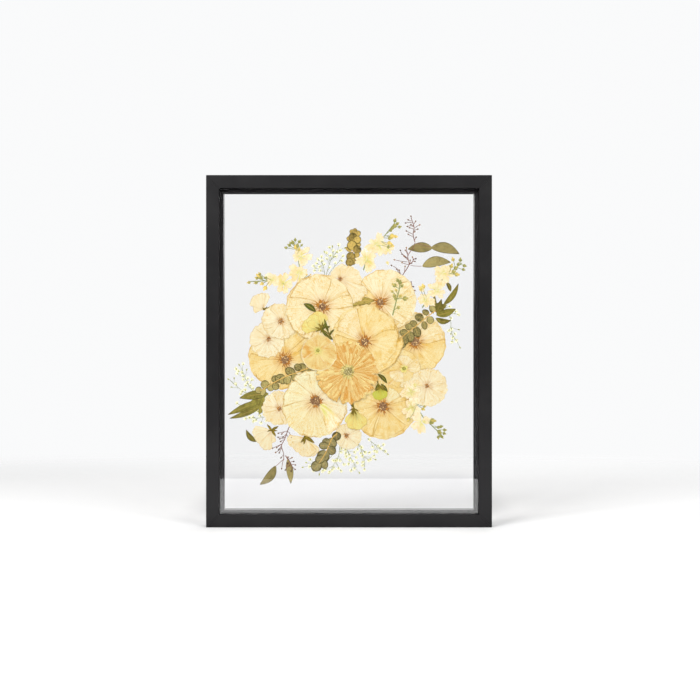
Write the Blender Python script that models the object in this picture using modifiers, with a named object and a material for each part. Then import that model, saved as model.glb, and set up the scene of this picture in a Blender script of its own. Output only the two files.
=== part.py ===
"""Pressed flower frame.

Dried flowers, leaves and sprigs lie flat between two glass panes, in a deep
black wooden frame with mitred corners. X runs across the frame, the front
faces -Y and Z is up. The origin is the middle of the bottom of the frame's
box. The frame stands on its bottom rail. Lengths are in metres.
"""

import math

import bmesh
import bpy
import numpy as np
from mathutils import Matrix, Vector

MM = 0.001

# The glass sets the frame: the rails and stops are allowances around it.
GLASS_WIDTH = 406.4 * MM
GLASS_HEIGHT = 508.0 * MM
GLASS_THICKNESS = 2.0 * MM
GLASS_OVERLAP = 4.7 * MM
SPECIMEN_SPACE = 4.0 * MM

RAIL_FACE = 20.0 * MM
RAIL_DEPTH = 38.0 * MM
RAIL_CHAMFER = 0.8 * MM
LIP_THICKNESS = 6.0 * MM
LIP_CHAMFER = 0.5 * MM
REBATE_WIDTH = GLASS_OVERLAP + 1.0 * MM

STOP_INSET = 5.5 * MM
STOP_RECESS = 2.0 * MM
GAP = 0.3 * MM
MITRE_GAP = 0.2 * MM

SIGHT_WIDTH = GLASS_WIDTH - 2 * GLASS_OVERLAP
SIGHT_HEIGHT = GLASS_HEIGHT - 2 * GLASS_OVERLAP
OUTER_HEIGHT = SIGHT_HEIGHT + 2 * RAIL_FACE

# The sawtooth hanger and its nails stand proud of the back.
HANGER_LENGTH = 46.0 * MM
HANGER_WIDTH = 9.0 * MM
HANGER_THICKNESS = 0.9 * MM
HANGER_HOLE_RADIUS = 1.4 * MM
HANGER_HOLE_SPACING = 37.0 * MM
HANGER_TOOTH_PITCH = 2.4 * MM
HANGER_TOOTH_DEPTH = 1.4 * MM
HANGER_TEETH = 10
NAIL_HEAD_RADIUS = 2.4 * MM
NAIL_HEAD_HEIGHT = 0.9 * MM
NAIL_SHANK_RADIUS = 1.0 * MM
NAIL_FLAT = 0.7
ROUND_SIDES = 16
HANGER_PROUD = GAP + HANGER_THICKNESS + GAP + NAIL_HEAD_HEIGHT

# Depths behind the front face, and the front face's own place.
FRONT_Y = -(RAIL_DEPTH + HANGER_PROUD) / 2
BACK_Y = FRONT_Y + RAIL_DEPTH
FRONT_GLASS = LIP_THICKNESS + GAP
BACK_GLASS = FRONT_GLASS + GLASS_THICKNESS + SPECIMEN_SPACE
STOP_FRONT = BACK_GLASS + GLASS_THICKNESS + GAP
CENTRE_Z = OUTER_HEIGHT / 2

# Pressed plants lie in levels: level 0 is next to the back pane.
PLATE = 0.12 * MM
LEVEL_PITCH = 0.38 * MM
FIRST_LEVEL = 0.25 * MM
ROUND_TURN = 2 * math.pi

# Outlines are drawn in mm. A stalk's half width, and how the outlines are shaped.
STALK = 0.9
BLOOM_POINTS = 40
NOTCH_DEPTH = 0.09
NOTCH_FULLNESS = 0.6
FAN_POINTS = 17
FAN_CORNER_DROP = 0.3
FAN_CORNER_SHARPNESS = 3.5
FAN_HEEL = (-1.2, 0.0, 1.2)
SPRIG_POINTS_PER_PAIR = 6
SPRIG_FULLNESS = 0.7
SPRIG_TAPER = 0.35
LEAF_POINTS = 11
LEAF_WIDEST = 0.85
LEAF_FULLNESS = 0.85
LEAF_STALK = 0.7 * STALK
LEAF_TIP = 0.3 * STALK

# Points this near each other are one, where caps meet sides and planes meet corners.
WELD = 1e-6
ON_PLANE = 1e-7

# Open blooms, seen from above: name, centre x and z from the middle of the
# frame in mm, radius in mm, petals, turn of the first petal in degrees, level.
BLOOMS = (
    ("rose_top_left", -45.0, 66.5, 52.0, 6, 75, 6),
    ("rose_top_right", 55.4, 77.7, 48.5, 6, 100, 4),
    ("rose_middle", 25.6, 20.0, 50.0, 5, 80, 7),
    ("rose_left", -105.5, -8.5, 49.5, 5, 205, 1),
    ("rose_bottom_left", -52.5, -83.0, 52.0, 6, 150, 3),
    ("rose_bottom_right", 54.0, -84.0, 51.0, 5, 260, 2),
    ("rose_right", 101.0, 12.0, 49.5, 6, 330, 1),
    ("fringed_bloom", -3.5, -33.0, 48.0, 18, 0, 8),
    ("ranunculus_small", -46.0, -3.0, 27.5, 8, 15, 9),
    ("ranunculus_pale", 80.5, -27.5, 29.5, 7, 40, 3),
    ("small_bloom_upper_left", -107.5, 46.5, 28.0, 5, 130, 3),
    ("small_bloom_left", -125.5, 17.0, 28.0, 5, 160, 2),
    ("small_bloom_lower_left", -107.0, -87.0, 27.0, 5, 120, 2),
    ("small_bloom_bottom", -1.0, -130.0, 21.0, 5, 340, 1),
    ("small_bloom_right", 121.5, -54.5, 30.0, 5, 60, 4),
    ("small_bloom_top", -2.0, 106.0, 30.0, 5, 320, 5),
)

# Half blooms and buds, seen from the side: name, base x and z, length in mm,
# direction and spread in degrees, level.
FANS = (
    ("half_bloom_left", -131.5, 66.0, 24.5, 128, 140, 2),
    ("half_bloom_lower_left", -117.5, -120.5, 32.5, 206, 95, 2),
    ("half_bloom_bottom", -67.0, -134.0, 28.5, 250, 122, 2),
    ("bud_left", -40.5, 29.0, 32.5, 122, 84, 8),
    ("bud_green", 45.5, -49.5, 25.5, 277, 62, 4),
    ("bud_bottom", 6.0, -83.0, 37.5, 284, 56, 4),
)

# Sprigs: name, stem points in mm, reach of the leaves to each side in mm,
# pairs of leaves, level.
SPRIGS = (
    ("eucalyptus_top", ((1.5, 132.0), (5.5, 150.0), (8.5, 170.0), (10.5, 188.0)), 9.0, 4, 1),
    ("eucalyptus_left", ((-57.0, -24.5), (-79.0, -32.5), (-116.0, -49.0), (-141.0, -63.0)), 9.5, 6, 2),
    ("eucalyptus_bottom", ((-17.5, -126.0), (-30.0, -144.0), (-40.0, -162.0), (-52.0, -181.0)), 10.5, 4, 2),
    ("eucalyptus_right", ((137.0, 66.0), (119.0, 51.0), (95.0, 32.5), (73.0, 14.0)), 9.5, 6, 3),
    ("stock_stem_top", ((-71.0, 106.0), (-75.0, 125.0), (-76.0, 146.0), (-82.0, 172.0)), 21.5, 3, 2),
    ("stock_stem_left", ((-88.0, 97.0), (-100.0, 103.5), (-118.0, 109.0), (-157.5, 107.0)), 15.0, 4, 3),
    ("stock_stem_top_right", ((22.0, 122.0), (28.0, 140.0), (45.0, 164.0), (72.0, 201.0)), 17.0, 3, 2),
    ("stock_stem_right", ((112.0, 63.0), (126.0, 86.0), (146.0, 116.0), (174.0, 138.0)), 17.0, 4, 2),
    ("stock_stem_lower_right", ((95.0, -43.0), (99.0, -74.0), (115.0, -104.0), (146.0, -131.0)), 16.5, 4, 5),
    ("stock_bud_stem", ((66.5, 54.5), (72.0, 76.0), (77.0, 92.0), (79.0, 109.0)), 9.0, 3, 5),
    ("breath_spray_top", ((-38.0, 113.0), (-34.0, 128.0), (-30.0, 145.0), (-24.0, 166.0)), 25.0, 1, 0),
    ("breath_spray_left", ((-137.0, -112.0), (-156.0, -86.0), (-164.0, -52.0), (-160.0, -16.0)), 23.0, 3, 0),
    ("breath_spray_bottom", ((-66.0, -168.0), (-30.0, -170.0), (16.0, -160.0), (58.0, -142.0)), 20.0, 4, 0),
    ("breath_spray_right", ((150.0, 72.0), (160.0, 50.0), (160.0, 27.0), (171.0, 3.0)), 9.0, 3, 0),
)

# Leaf groups: name, leaves as base x, base z, tip x, tip z, width and stalk
# length in mm, level.
LEAF_GROUPS = (
    (
        "leaf_cluster_left",
        (
            (-127.0, -67.0, -168.5, -71.5, 13.5, 1.0),
            (-130.0, -70.5, -185.5, -99.0, 12.5, 5.0),
            (-131.0, -69.0, -139.5, -97.5, 9.0, 1.0),
        ),
        1,
    ),
    (
        "leaf_cluster_right",
        (
            (128.0, 60.0, 164.0, 63.5, 13.5, 2.0),
            (128.5, 61.0, 156.0, 46.5, 11.5, 5.0),
            (130.0, 59.0, 132.0, 86.0, 9.0, 5.0),
            (129.5, 59.5, 168.0, 103.5, 9.0, 16.0),
        ),
        1,
    ),
    ("folded_leaf", ((-3.0, 73.0, 40.0, 77.5, 17.0, 1.0),), 3),
    (
        "seeded_eucalyptus_top_right",
        (
            (104.0, 157.0, 128.5, 158.5, 17.0, 1.0),
            (124.5, 159.5, 169.5, 149.5, 17.5, 1.0),
            (90.5, 131.5, 156.5, 137.0, 15.0, 22.0),
        ),
        1,
    ),
    (
        "seeded_eucalyptus_bottom_left",
        (
            (-100.5, -163.0, -137.0, -205.0, 13.0, 18.0),
            (-98.0, -160.0, -89.0, -203.5, 11.5, 8.0),
        ),
        1,
    ),
)

# The seed-bearing stems that run through the two seeded groups, as SPRIGS are.
SEED_STEMS = {
    "seeded_eucalyptus_top_right": (
        ((80.0, 109.0), (92.0, 133.0), (99.0, 165.0), (96.0, 206.0)),
        13.0,
        4,
    ),
    "seeded_eucalyptus_bottom_left": (
        ((-88.5, -112.0), (-98.5, -134.0), (-103.0, -147.0), (-99.0, -168.0)),
        10.0,
        3,
    ),
}

COLOURS = {
    "rail": ((0.022, 0.022, 0.024), 0.45, 0.0),
    "stop": ((0.02, 0.02, 0.021), 0.55, 0.0),
    "glass": ((0.9, 0.95, 0.94), 0.02, 0.0),
    "hanger": ((0.62, 0.5, 0.26), 0.35, 1.0),
    "nail": ((0.6, 0.6, 0.6), 0.35, 1.0),
    "rose": ((0.85, 0.68, 0.36), 0.65, 0.0),
    "fringed": ((0.82, 0.5, 0.17), 0.65, 0.0),
    "ranunculus": ((0.8, 0.6, 0.25), 0.65, 0.0),
    "small": ((0.9, 0.78, 0.52), 0.65, 0.0),
    "half": ((0.9, 0.76, 0.5), 0.65, 0.0),
    "bud": ((0.66, 0.64, 0.18), 0.6, 0.0),
    "stock": ((0.9, 0.84, 0.52), 0.65, 0.0),
    "eucalyptus": ((0.27, 0.23, 0.07), 0.6, 0.0),
    "leaf": ((0.2, 0.19, 0.03), 0.6, 0.0),
    "folded": ((0.36, 0.28, 0.07), 0.6, 0.0),
    "seeded": ((0.3, 0.25, 0.1), 0.6, 0.0),
    "breath": ((0.82, 0.83, 0.6), 0.7, 0.0),
}


def clear_scene():
    """Remove every object, so the parts are all the scene holds."""
    for obj in list(bpy.data.objects):
        bpy.data.objects.remove(obj, do_unlink=True)


def new_collection(name, hidden=False):
    collection = bpy.data.collections.new(name)
    bpy.context.scene.collection.children.link(collection)
    collection.hide_render = hidden
    return collection


def new_material(name, kind):
    colour, roughness, metallic = COLOURS[kind]
    material = bpy.data.materials.new(name)
    material.use_nodes = True
    shader = material.node_tree.nodes["Principled BSDF"]
    shader.inputs["Base Color"].default_value = (*colour, 1.0)
    shader.inputs["Roughness"].default_value = roughness
    shader.inputs["Metallic"].default_value = metallic
    return material


def finish(obj, collection, kind):
    """Link the object and give it a material of its own."""
    collection.objects.link(obj)
    obj.data.materials.append(new_material(obj.name + "_finish", kind))
    return obj


# Outlines ------------------------------------------------------------------


def smooth_path(points, count):
    """Catmull-Rom curve through the points, with its ends carried on straight."""
    knots = np.array(points, float)
    knots = np.vstack([2 * knots[0] - knots[1], knots, 2 * knots[-1] - knots[-2]])
    place = np.linspace(0, len(points) - 1, count)
    span = np.minimum(place.astype(int), len(points) - 2)
    t = (place - span)[:, None]
    a, b, c, d = (knots[span + i] for i in range(4))
    square = 2 * a - 5 * b + 4 * c - d
    cube = 3 * b - a - 3 * c + d
    return (2 * b + (c - a) * t + square * t**2 + cube * t**3) / 2


def bloom_outline(x, z, radius, petals, turn):
    """Polar outline: the full radius at each petal's tip, and a notch between petals."""
    count = petals * max(2, BLOOM_POINTS // petals)
    place = np.arange(count) * ROUND_TURN / count
    lobe = np.abs(np.cos(petals * place / 2)) ** NOTCH_FULLNESS
    reach = radius * (1 - NOTCH_DEPTH * (1 - lobe))
    angle = math.radians(turn) + place
    return np.column_stack([x + reach * np.cos(angle), z + reach * np.sin(angle)])


def fan_outline(x, z, length, direction, spread):
    """Petals seen from the side: an arc about the base, with its corners drawn in."""
    t = np.linspace(-1, 1, FAN_POINTS)
    angle = math.radians(direction) + t * math.radians(spread) / 2
    reach = length * (1 - FAN_CORNER_DROP * np.abs(t) ** FAN_CORNER_SHARPNESS)
    arc = np.column_stack([x + reach * np.cos(angle), z + reach * np.sin(angle)])
    back = math.radians(direction) + math.pi + np.array(FAN_HEEL)
    heel = np.column_stack([x + STALK * np.cos(back), z + STALK * np.sin(back)])
    return np.vstack([arc, heel])


def ribbon_outline(path, half_width):
    """One side of the path and back along the other, at half_width from it."""
    along = np.gradient(path, axis=0)
    along /= np.linalg.norm(along, axis=1)[:, None]
    across = np.column_stack([-along[:, 1], along[:, 0]]) * half_width[:, None]
    return np.vstack([path + across, (path - across)[::-1]])


def sprig_outline(points, reach, pairs):
    """A stem with a rounded lobe to each side for every pair of leaves."""
    path = smooth_path(points, SPRIG_POINTS_PER_PAIR * pairs + 1)
    t = np.linspace(0, 1, len(path))
    lobes = np.abs(np.sin(math.pi * pairs * t)) ** SPRIG_FULLNESS
    return ribbon_outline(path, STALK + reach * lobes * (1 - SPRIG_TAPER * t))


def leaf_outline(x, z, tip_x, tip_z, width, stalk):
    """A pointed oval blade at the end of a thin stalk."""
    length = math.hypot(tip_x - x, tip_z - z)
    blade_start = stalk / length
    place = np.append([0, blade_start / 2], np.linspace(blade_start, 1, LEAF_POINTS))
    blade = np.clip((place - blade_start) / (1 - blade_start), 0, 1)
    half = LEAF_STALK + width / 2 * np.sin(math.pi * blade**LEAF_WIDEST) ** LEAF_FULLNESS
    half[-1] = LEAF_TIP
    path = np.array([x, z]) + place[:, None] * np.array([tip_x - x, tip_z - z])
    return ribbon_outline(path, half)


# Solids --------------------------------------------------------------------


def flat_curve(name, outlines, thickness):
    """A filled 2D curve of closed outlines, extruded to the thickness. An inner outline is a hole."""
    curve = bpy.data.curves.new(name, "CURVE")
    curve.dimensions = "2D"
    curve.fill_mode = "BOTH"
    curve.extrude = thickness / 2
    for outline in outlines:
        spline = curve.splines.new("POLY")
        spline.points.add(len(outline) - 1)
        flat = np.column_stack([outline, np.zeros(len(outline)), np.ones(len(outline))])
        spline.points.foreach_set("co", flat.ravel())
        spline.use_cyclic_u = True
    return bpy.data.objects.new(name, curve)


def mesh_of(obj):
    """The object's shape as a mesh with its caps welded. The curve itself is removed."""
    bpy.context.scene.collection.objects.link(obj)
    graph = bpy.context.evaluated_depsgraph_get()
    mesh = bpy.data.meshes.new_from_object(obj.evaluated_get(graph))
    bpy.data.objects.remove(obj, do_unlink=True)
    bm = bmesh.new()
    bm.from_mesh(mesh)
    bmesh.ops.remove_doubles(bm, verts=bm.verts, dist=WELD)
    bmesh.ops.recalc_face_normals(bm, faces=bm.faces)
    bm.to_mesh(mesh)
    bm.free()
    return mesh


def mitred_strip(name, profile, sight_length, sight_edge, quarter_turns, collection, kind):
    """A moulding: its profile (distance out from the sight edge, depth) carried along one side.

    The strip is made as the bottom one, mitred by a plane at each end, and turned into its place.
    """
    half = sight_length / 2
    mesh = mesh_of(flat_curve(name, [profile], 2 * (half + 2 * RAIL_FACE)))
    mesh.name = name
    mesh.transform(Matrix(((0, 0, 1, 0), (0, 1, 0, FRONT_Y), (-1, 0, 0, 0), (0, 0, 0, 1))))
    bm = bmesh.new()
    bm.from_mesh(mesh)
    for side in (-1, 1):
        normal = Vector((side, 0, 1)).normalized()
        place = Vector((side * half, 0, 0)) - normal * MITRE_GAP / 2
        bmesh.ops.bisect_plane(
            bm,
            geom=list(bm.verts) + list(bm.edges) + list(bm.faces),
            dist=ON_PLANE,
            plane_co=place,
            plane_no=normal,
            clear_outer=True,
        )
        open_edges = [edge for edge in bm.edges if edge.is_boundary]
        bmesh.ops.holes_fill(bm, edges=open_edges, sides=0)
    bmesh.ops.recalc_face_normals(bm, faces=bm.faces)
    bm.to_mesh(mesh)
    bm.free()
    obj = bpy.data.objects.new(name, mesh)
    turn = quarter_turns * math.pi / 2
    obj.rotation_euler = (0, turn, 0)
    obj.location = (-sight_edge * math.sin(turn), 0, CENTRE_Z - sight_edge * math.cos(turn))
    return finish(obj, collection, kind)


def add_mitred_frame(prefix, profile, collection, kind):
    """Four strips of one profile round the sight opening."""
    sides = (
        ("bottom", SIGHT_WIDTH, SIGHT_HEIGHT / 2, 0),
        ("left", SIGHT_HEIGHT, SIGHT_WIDTH / 2, 1),
        ("top", SIGHT_WIDTH, SIGHT_HEIGHT / 2, 2),
        ("right", SIGHT_HEIGHT, SIGHT_WIDTH / 2, 3),
    )
    for side, length, edge, turns in sides:
        mitred_strip(prefix + "_" + side, profile, length, edge, turns, collection, kind)


def add_rails(collection):
    """L-shaped rails: a lip in front of the glass, and a deep body outside it."""
    profile = np.array([
        (LIP_CHAMFER, 0),
        (RAIL_FACE - RAIL_CHAMFER, 0),
        (RAIL_FACE, RAIL_CHAMFER),
        (RAIL_FACE, RAIL_DEPTH - RAIL_CHAMFER),
        (RAIL_FACE - RAIL_CHAMFER, RAIL_DEPTH),
        (REBATE_WIDTH, RAIL_DEPTH),
        (REBATE_WIDTH, LIP_THICKNESS),
        (0, LIP_THICKNESS),
        (0, LIP_CHAMFER),
    ])
    add_mitred_frame("rail", profile, collection, "rail")


def add_stops(collection):
    """Strips that hold the panes against the lip, and stand in past its sight edge."""
    profile = np.array([
        (-STOP_INSET, STOP_FRONT + LIP_CHAMFER),
        (-STOP_INSET + LIP_CHAMFER, STOP_FRONT),
        (REBATE_WIDTH - GAP, STOP_FRONT),
        (REBATE_WIDTH - GAP, RAIL_DEPTH - STOP_RECESS),
        (-STOP_INSET, RAIL_DEPTH - STOP_RECESS),
    ])
    add_mitred_frame("stop", profile, collection, "stop")


def add_pane(name, depth, collection):
    """One glass pane, whose front face is at this depth behind the frame's front."""
    bm = bmesh.new()
    size = (GLASS_WIDTH, GLASS_THICKNESS, GLASS_HEIGHT)
    bmesh.ops.create_cube(bm, size=1.0, matrix=Matrix.Diagonal((*size, 1)))
    mesh = bpy.data.meshes.new(name)
    bm.to_mesh(mesh)
    bm.free()
    obj = bpy.data.objects.new(name, mesh)
    obj.location = (0, FRONT_Y + depth + GLASS_THICKNESS / 2, CENTRE_Z)
    return finish(obj, collection, "glass")


def circle(x, radius):
    angle = np.arange(ROUND_SIDES) * ROUND_TURN / ROUND_SIDES
    return np.column_stack([x + radius * np.cos(angle), radius * np.sin(angle)])


def add_hanger(collection):
    """A sawtooth strip nailed flat to the back of the top rail."""
    half_length, half_width = HANGER_LENGTH / 2, HANGER_WIDTH / 2
    tooth = np.arange(2 * HANGER_TEETH + 1)
    teeth = np.column_stack([
        (tooth - HANGER_TEETH) * HANGER_TOOTH_PITCH / 2,
        -half_width + np.where(tooth % 2, HANGER_TOOTH_DEPTH, 0),
    ])
    corners = np.array([
        (half_length, -half_width),
        (half_length, half_width),
        (-half_length, half_width),
        (-half_length, -half_width),
    ])
    holes = [circle(side * HANGER_HOLE_SPACING / 2, HANGER_HOLE_RADIUS) for side in (-1, 1)]
    obj = flat_curve("hanger", [np.vstack([teeth, corners]), *holes], HANGER_THICKNESS)
    obj.rotation_euler = (math.pi / 2, 0, 0)
    height = OUTER_HEIGHT - (RAIL_FACE - REBATE_WIDTH) / 2
    obj.location = (0, BACK_Y + GAP + HANGER_THICKNESS / 2, height)
    finish(obj, collection, "hanger")
    for side, word in ((-1, "left"), (1, "right")):
        add_nail("hanger_nail_" + word, side * HANGER_HOLE_SPACING / 2, height, collection)


def add_nail(name, x, z, collection):
    """A turned profile: a flat round head and the shank that passes through the hanger."""
    top = HANGER_PROUD - GAP
    under = top - NAIL_HEAD_HEIGHT
    profile = (
        (0, top),
        (NAIL_HEAD_RADIUS * NAIL_FLAT, top),
        (NAIL_HEAD_RADIUS, (top + under) / 2),
        (NAIL_HEAD_RADIUS, under),
        (NAIL_SHANK_RADIUS, under),
        (NAIL_SHANK_RADIUS, 0),
        (0, 0),
    )
    mesh = bpy.data.meshes.new(name)
    bm = bmesh.new()
    verts = [bm.verts.new((r, 0, height)) for r, height in profile]
    for first, second in zip(verts, verts[1:]):
        bm.edges.new((first, second))
    bm.to_mesh(mesh)
    bm.free()
    obj = bpy.data.objects.new(name, mesh)
    obj.location = (x, BACK_Y + GAP, z)
    obj.rotation_euler = (-math.pi / 2, 0, 0)
    screw = obj.modifiers.new("Turn", "SCREW")
    screw.steps = ROUND_SIDES
    screw.render_steps = ROUND_SIDES
    screw.use_merge_vertices = True
    screw.merge_threshold = WELD
    return finish(obj, collection, "nail")


# Pressed plants ------------------------------------------------------------


def level_y(level):
    """The middle of a plate at this level, counted forward from the back pane."""
    return FRONT_Y + BACK_GLASS - FIRST_LEVEL - level * LEVEL_PITCH


def add_plate(name, outline, level, collection, kind):
    """A pressed piece: its outline in mm from the middle of the frame, one plate thick."""
    obj = flat_curve(name, [outline * MM], PLATE)
    obj.rotation_euler = (math.pi / 2, 0, 0)
    obj.location = (0, level_y(level), CENTRE_Z)
    return finish(obj, collection, kind)


def add_joined_plate(name, outlines, level, collection, joiners, kind):
    """Plates that grow from one stem: a Boolean union of their outlines."""
    place = Matrix.Translation((0, level_y(level), CENTRE_Z)) @ Matrix.Rotation(math.pi / 2, 4, "X")
    pieces = []
    for number, outline in enumerate(outlines):
        mesh = mesh_of(flat_curve(name, [outline * MM], PLATE))
        piece = bpy.data.objects.new(name if number == 0 else f"{name}_{number}", mesh)
        piece.matrix_world = place
        pieces.append(piece)
    for piece in pieces[1:]:
        joiners.objects.link(piece)
        piece.hide_render = True
        piece.display_type = "WIRE"
        union = pieces[0].modifiers.new("Join", "BOOLEAN")
        union.operation = "UNION"
        union.object = piece
    return finish(pieces[0], collection, kind)


def add_specimens(collection, joiners):
    for name, x, z, radius, petals, turn, level in BLOOMS:
        kind = name.split("_")[0]
        add_plate(name, bloom_outline(x, z, radius, petals, turn), level, collection, kind)
    for name, x, z, length, direction, spread, level in FANS:
        kind = name.split("_")[0]
        add_plate(name, fan_outline(x, z, length, direction, spread), level, collection, kind)
    for name, points, reach, pairs, level in SPRIGS:
        kind = name.split("_")[0]
        add_plate(name, sprig_outline(points, reach, pairs), level, collection, kind)
    for name, leaves, level in LEAF_GROUPS:
        kind = name.split("_")[0]
        outlines = [leaf_outline(*leaf) for leaf in leaves]
        if name in SEED_STEMS:
            outlines.insert(0, sprig_outline(*SEED_STEMS[name]))
        add_joined_plate(name, outlines, level, collection, joiners, kind)


def main():
    clear_scene()
    parts = new_collection("pressed_flower_frame")
    joiners = new_collection("joiners", hidden=True)
    add_rails(parts)
    add_stops(parts)
    add_pane("glass_front", FRONT_GLASS, parts)
    add_pane("glass_back", BACK_GLASS, parts)
    add_hanger(parts)
    add_specimens(parts, joiners)


main()
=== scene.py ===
"""Looks of the pressed flower frame: rails, panes, hanger, and every pressed plant.

Plants are drawn in mm on the frame's own plane: right, toward the viewer and up,
from the middle of the frame and from the plant's own level between the panes.
"""

import math

import bpy
import numpy as np
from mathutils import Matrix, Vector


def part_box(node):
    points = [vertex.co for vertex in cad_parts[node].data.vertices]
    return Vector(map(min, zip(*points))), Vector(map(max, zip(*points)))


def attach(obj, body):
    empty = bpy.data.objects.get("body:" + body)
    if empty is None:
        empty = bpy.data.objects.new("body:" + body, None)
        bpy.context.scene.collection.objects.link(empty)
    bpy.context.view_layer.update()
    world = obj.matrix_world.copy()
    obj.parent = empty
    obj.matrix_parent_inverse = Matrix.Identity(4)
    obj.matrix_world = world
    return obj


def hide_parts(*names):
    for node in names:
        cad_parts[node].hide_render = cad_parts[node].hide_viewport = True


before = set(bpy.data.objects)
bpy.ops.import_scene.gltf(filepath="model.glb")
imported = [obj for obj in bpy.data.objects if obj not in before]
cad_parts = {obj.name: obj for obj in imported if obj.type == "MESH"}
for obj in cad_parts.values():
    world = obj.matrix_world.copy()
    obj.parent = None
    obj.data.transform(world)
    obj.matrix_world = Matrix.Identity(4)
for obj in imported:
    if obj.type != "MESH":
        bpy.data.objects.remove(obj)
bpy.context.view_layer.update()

bl_info = {
    "name": "Pressed Flower Frame",
    "version": (1, 0, 0),
    "blender": (4, 5, 0),
    "location": "3D View > Sidebar > Pressed Frame",
    "description": "Petals, leaves, glass and painted wood of a pressed flower frame",
    "category": "Object",
}

MM = 0.001
FULL_TURN = 2 * math.pi
GOLDEN_TURN = math.pi * (3 - math.sqrt(5))
MIDDLE_Z = (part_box("rail_bottom")[0].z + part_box("rail_top")[1].z) / 2
FRONT_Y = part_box("rail_bottom")[0].y
SHARP_ANGLE = math.radians(50)
TONE_SHIFT = 37.0  # how far apart in a texture two pieces lie whose tones differ by 1
GLASS_IOR = 1.52
SENSOR_WIDTH = 36
FLOOR_CORNERS = ((-2.7, -3.6), (2.7, 1.8))
TABLE_HALF_WIDTH = 0.5
TABLE_DROP = 0.002  # the table lies under the floor, which no mirror shows
TABLE_SHADE = (0.02, 0.2)  # how far ahead of the frame its shade on the table is deepest, and where it ends
SHADED_SHARE = 0.25  # how bright the table is there
ROOM_SEEN = (0.955, 0.96, 0.965)
ROOM_LIGHT = (1.0, 1.0, 1.0)
ROOM_MIRRORED = (0.03, 0.03, 0.032)
# Floor colours in front and far back: painted shade makes the floor darker farther from the lights
FLOOR_NEAR_LIT = (0.93, 0.93, 0.93)
FLOOR_FAR_SHADED = (0.78, 0.78, 0.78)
# Floor colour in the painted shadow behind the frame
FLOOR_PAINTED_SHADOW = (0.75, 0.75, 0.76)

# Glowing planes, no lamps, that paint the lit table top's reflection in the glass: name, front and back edge as shares
# of its reach, and brightness.
TABLE_PARTS = (("table_front", 0.8, 0.0, 2.9), ("table_lip", 1.0, 0.8, 2.6))

# Softboxes: name, which is also the setting of its power, place, and width and height.
SOFTBOXES = (
    ("key", (-1.4, -2.4, 1.7), (1.2, 1.2)),
    ("fill", (1.4, -2.4, 1.5), (1.2, 1.2)),
    ("back", (0.3, 2.1, 1.2), (2.0, 1.6)),
)

# Open roses: node, eye from the bloom's middle as shares of its radius, tint, stamens as
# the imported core's radius, the threads' reach and their number, and petals as turn and
# spread in degrees, length as a share of the way to the rim, layer, and a tint of its own.
ROSES = (
    (
        "rose_top_left",
        (0.079, 0.035),
        "cream",
        (6.6, 14.5, 36),
        (
            (20, 110, 1.0, 0), (75, 105, 1.01, 1), (130, 110, 1.0, 0), (185, 105, 1.01, 1), (245, 115, 1.0, 0),
            (305, 110, 1.01, 1), (110, 92, 0.97, 2), (322, 70, 0.9, 2),
        ),
    ),
    (
        "rose_top_right",
        (-0.153, -0.056),
        "cream",
        (6.2, 12.5, 32),
        (
            (35, 110, 1.0, 0), (95, 100, 1.01, 1), (150, 100, 1.0, 0, "gold"), (205, 105, 1.01, 1, "gold"),
            (265, 105, 1.0, 0), (330, 100, 1.01, 1), (352, 60, 0.92, 2, "ivory"),
        ),
    ),
    (
        "rose_middle",
        (-0.042, -0.124),
        "gold",
        (6.8, 12.5, 36),
        (
            (172, 130, 1.06, 0), (215, 110, 1.0, 1), (296, 130, 1.18, 0), (106, 56, 1.03, 0),
            (342, 112, 1.0, 1), (20, 70, 1.02, 0), (132, 66, 0.97, 2, "cream"), (70, 86, 0.985, 3),
        ),
    ),
    (
        "rose_left",
        (0.139, -0.081),
        "gold",
        (6.8, 13.5, 38),
        (
            (165, 110, 1.01, 0), (225, 110, 1.0, 1), (285, 110, 1.01, 0), (345, 110, 1.0, 1), (45, 110, 1.08, 0),
            (105, 110, 1.0, 1), (203, 60, 0.97, 2), (320, 46, 0.8, 2, "cream"),
        ),
    ),
    (
        "rose_bottom_left",
        (0.035, 0.135),
        "ivory",
        (8.0, 12.0, 26),
        (
            (60, 95, 1.0, 0, "blush"), (10, 90, 1.01, 0, "blush"), (97, 76, 1.1, 1), (146, 84, 1.0, 2),
            (214, 92, 1.01, 1), (262, 66, 0.99, 2), (300, 72, 1.0, 0), (322, 56, 0.97, 2, "milk"),
            (350, 48, 0.98, 3, "blush"),
        ),
    ),
    (
        "rose_bottom_right",
        (-0.02, 0.0),
        "gold",
        (7.2, 13.0, 38),
        (
            (15, 110, 1.01, 0), (75, 110, 1.02, 1), (135, 110, 1.01, 0), (200, 110, 1.0, 1), (260, 115, 1.01, 0),
            (325, 110, 1.0, 1), (286, 74, 0.93, 2), (50, 42, 0.62, 3, "ivory"),
        ),
    ),
    (
        "rose_right",
        (0.024, 0.042),
        "gold",
        (6.8, 12.0, 32),
        (
            (10, 110, 1.01, 0), (65, 105, 1.0, 1, "cream"), (125, 110, 1.01, 0), (185, 105, 1.0, 1),
            (245, 110, 1.01, 0), (305, 110, 1.0, 1), (30, 85, 0.96, 2, "cream"),
        ),
    ),
)

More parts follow.
